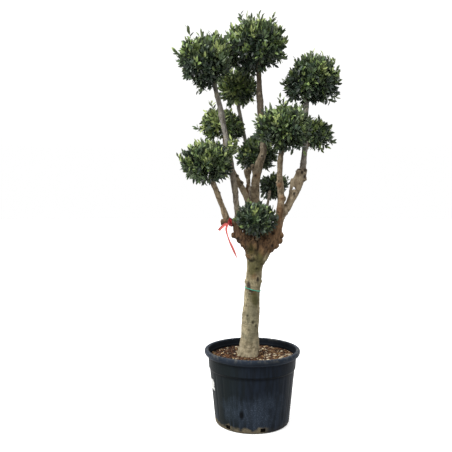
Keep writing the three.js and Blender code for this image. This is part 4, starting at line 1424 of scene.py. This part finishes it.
def grow_ball(place, seed):
    """One ball: its stem, branches, shoots and leaves."""
    dice = np.random.default_rng(seed)
    middle, width, height, tone_lift, top_tone_lift = balls[place]
    length_share, breadth, disorder = leaf_habits.get(place, (1.0, 1.0, leaf_disorder))
    middle = np.array(middle)
    radii = np.array((width / 2, width / 2, height / 2))

    # The main shoots are spread over the ball by the golden angle. On top some have grown out since
    # the last clipping, and underneath they are fewer.
    count = round(4 * math.pi * radii.mean() ** 2 / shoot_spacing ** 2)
    ways, rise = golden_ways(count, seed)
    ways = unit(ways + dice.normal(0, shoot_disorder, (count, 3)))
    grown = np.where(rise > 0.1, dice.random(count) < 0.28, dice.random(count) < 0.10)
    share = np.where(grown, dice.uniform(1.04, 1.20, count), dice.uniform(0.86, 1.04, count))
    offsets = ways * radii * (clipped(place, ways) * share)[:, None]
    there = (rise > -0.55) | (dice.random(count) < 0.65)
    offsets, rise, grown = offsets[there], rise[there], grown[there]
    offsets = drawn_in(offsets, leaf_reach * leaf_length * length_share)
    tips = [(tip[0], shoot_depths[i % 3], tip[1]) if len(tip) == 2 else tip
            for i, tip in enumerate(long_shoots[place])]
    long_offsets = drawn_in(np.array(tips) / 1000, 0.3 * leaf_length)
    ends = middle + np.concatenate([offsets, long_offsets])
    long = np.arange(len(ends)) >= len(offsets)
    rise = np.concatenate([rise, np.clip(unit(long_offsets)[:, 2] + 0.4, -0.5, 1)])
    grown = np.concatenate([grown, np.ones(len(tips), bool)])
    reaches = np.where(long, long_reach, np.where(grown, grown_reach, clipped_reach))

    # The stem goes on from the tip of the bough, and forks into branches inside the ball.
    stem_route = fork_stem
    stem_radius = fork_stem_radius
    if f"bough_{place}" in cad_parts:
        limb = np.array([v.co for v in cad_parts[f"bough_{place}"].data.vertices])
        nearest = limb[np.argsort(np.linalg.norm(limb - middle, axis=1))[:8]]
        tip = nearest.mean(0)
        inward = unit(middle - tip)
        stem_route = [tip - inward * 0.012, tip + (middle - tip) * 0.4, tip + (middle - tip) * stem_depth]
        stem_radius = np.linalg.norm(nearest - tip, axis=1).mean() * 0.95
    stem = flowing(stem_route, stem_points)
    branch_count = max(7, round(count / 12))
    branch_ends = middle + branch_reach * radii * golden_ways(branch_count, seed + 1)[0]
    branch_starts = stem[stem_points - fork_points + np.arange(branch_count) % fork_points]
    branch_bends = branch_starts * 0.5 + branch_ends * 0.5 + (0, 0, -0.012)
    nearest = np.argmin(np.linalg.norm(ends[:, None] - branch_ends[None], axis=2), 1)
    starts = branch_ends[nearest]
    bends = starts * 0.45 + ends * 0.55
    lengths = np.linalg.norm(ends - starts, axis=1)
    bends[:, 2] -= upward_curve * np.clip(rise + 0.65, -0.5, 1) * lengths

    # Tones by spray: lighter on top and on the longest shoots, darker in the lower half, partly for fresh
    # growth and partly as painted light and shade.
    tone_level = tone_lift + top_tone_lift * rise + dice.normal(0, tone_spread, len(ends))
    tone_level += np.where(long & (rise > 0.6), 0.85, 0.30 * grown)
    tones = np.digitize(tone_level, tone_steps)
    scales = np.where(long, 0.95, 1.0) * length_share
    lifts = leaf_lift * np.clip(rise + 0.60, -0.5, 1.1) * np.where(long, 0.4, 1.0)
    main = [starts, bends, ends, tones, reaches, scales, lifts]

    # Each shoot but the longest forks into side twigs, turned well round from one to the next.
    side_sets = []
    compass = np.arctan2(ends[:, 1] - middle[1], ends[:, 0] - middle[0])
    for step, share in enumerate(side_twig_shares):
        roots, along = bent(starts, bends, ends, np.full(len(ends), share))
        outward = turned_aside(along, dice.random(len(ends)) * 0.8 + step * 2.2 + compass)
        reach = np.clip(lengths * dice.uniform(0.40, 0.60, len(ends)), *side_twig_lengths)
        tips = roots + unit(along + outward * 0.95 + (0, 0, 0.35)) * reach[:, None]
        too_far = outness(place, tips) > 0.86
        tips[too_far] = roots[too_far] + (tips - roots)[too_far] * 0.7
        side_bends = roots * 0.5 + tips * 0.5 + outward * (reach * 0.12)[:, None]
        shade = np.clip(tones - (dice.random(len(ends)) < 0.5) + (dice.random(len(ends)) < 0.15), 0, 4)
        side_set = (roots, side_bends, tips, shade, reaches, scales * 0.95, lifts)
        side_sets.append([column[~long] for column in side_set])
    sides = [np.concatenate(column) for column in zip(*side_sets)]

    # The leaves that fit.
    leaf_sets = [leafed(main, 5, disorder, dice), leafed(sides, 2, disorder, dice)]
    *leaf_rows, reaches = (np.concatenate(column) for column in zip(*leaf_sets))
    roots, aims, _, sizes, _ = leaf_rows
    kept = fitting(place, roots, aims, sizes, reaches)
    leaves = leaf_mesh(f"leaves_{place}", *[column[kept] for column in leaf_rows], breadth, dice)
    for look in leaf_looks:
        leaves.data.materials.append(look)
    ride_as(leaves, "olive_foliage", f"pompom_{place}")

    # The twigs: stem, branches, shoots and side twigs, each thinner than the last.
    def curved(starts, bends, ends, stations):
        shares = np.linspace(0, 1, stations)
        return np.stack([bent(starts, bends, ends, np.full(len(starts), s))[0] for s in shares], 1)

    def tapered(count, stations, thick, thin):
        return np.tile(np.linspace(thick, thin, stations) / 2, (count, 1))

    stem_radii = np.linspace(stem_radius, stem_radius * 0.35, stem_points)[None]
    shapes = [
        tubes(stem[None], stem_radii, 12),
        tubes(curved(branch_starts, branch_bends, branch_ends, 6), tapered(branch_count, 6, 0.011, 0.006), 6),
        tubes(curved(starts, bends, ends, 5), tapered(len(starts), 5, 0.0042, 0.0016), 4),
        tubes(curved(*sides[:3], 3), tapered(len(sides[0]), 3, 0.0020, 0.0012), 3),
    ]
    first = np.cumsum([0] + [len(shape[0]) for shape in shapes])
    points = np.concatenate([shape[0] for shape in shapes])
    corners = np.concatenate([shape[1] + first[i] for i, shape in enumerate(shapes)])
    sizes = np.concatenate([shape[2] for shape in shapes])
    looks = np.concatenate([np.full(len(shape[2]), i > 0) for i, shape in enumerate(shapes)])
    twigs = settled(joined_mesh(f"twigs_{place}", points, corners, sizes, looks), 60)
    twigs.data.materials.append(barks["dark_bark"])
    twigs.data.materials.append(twig_bark)
    ride_as(twigs, "bough_bark", f"pompom_{place}")


for number, place in enumerate(balls):
    grow_ball(place, 11 + number)
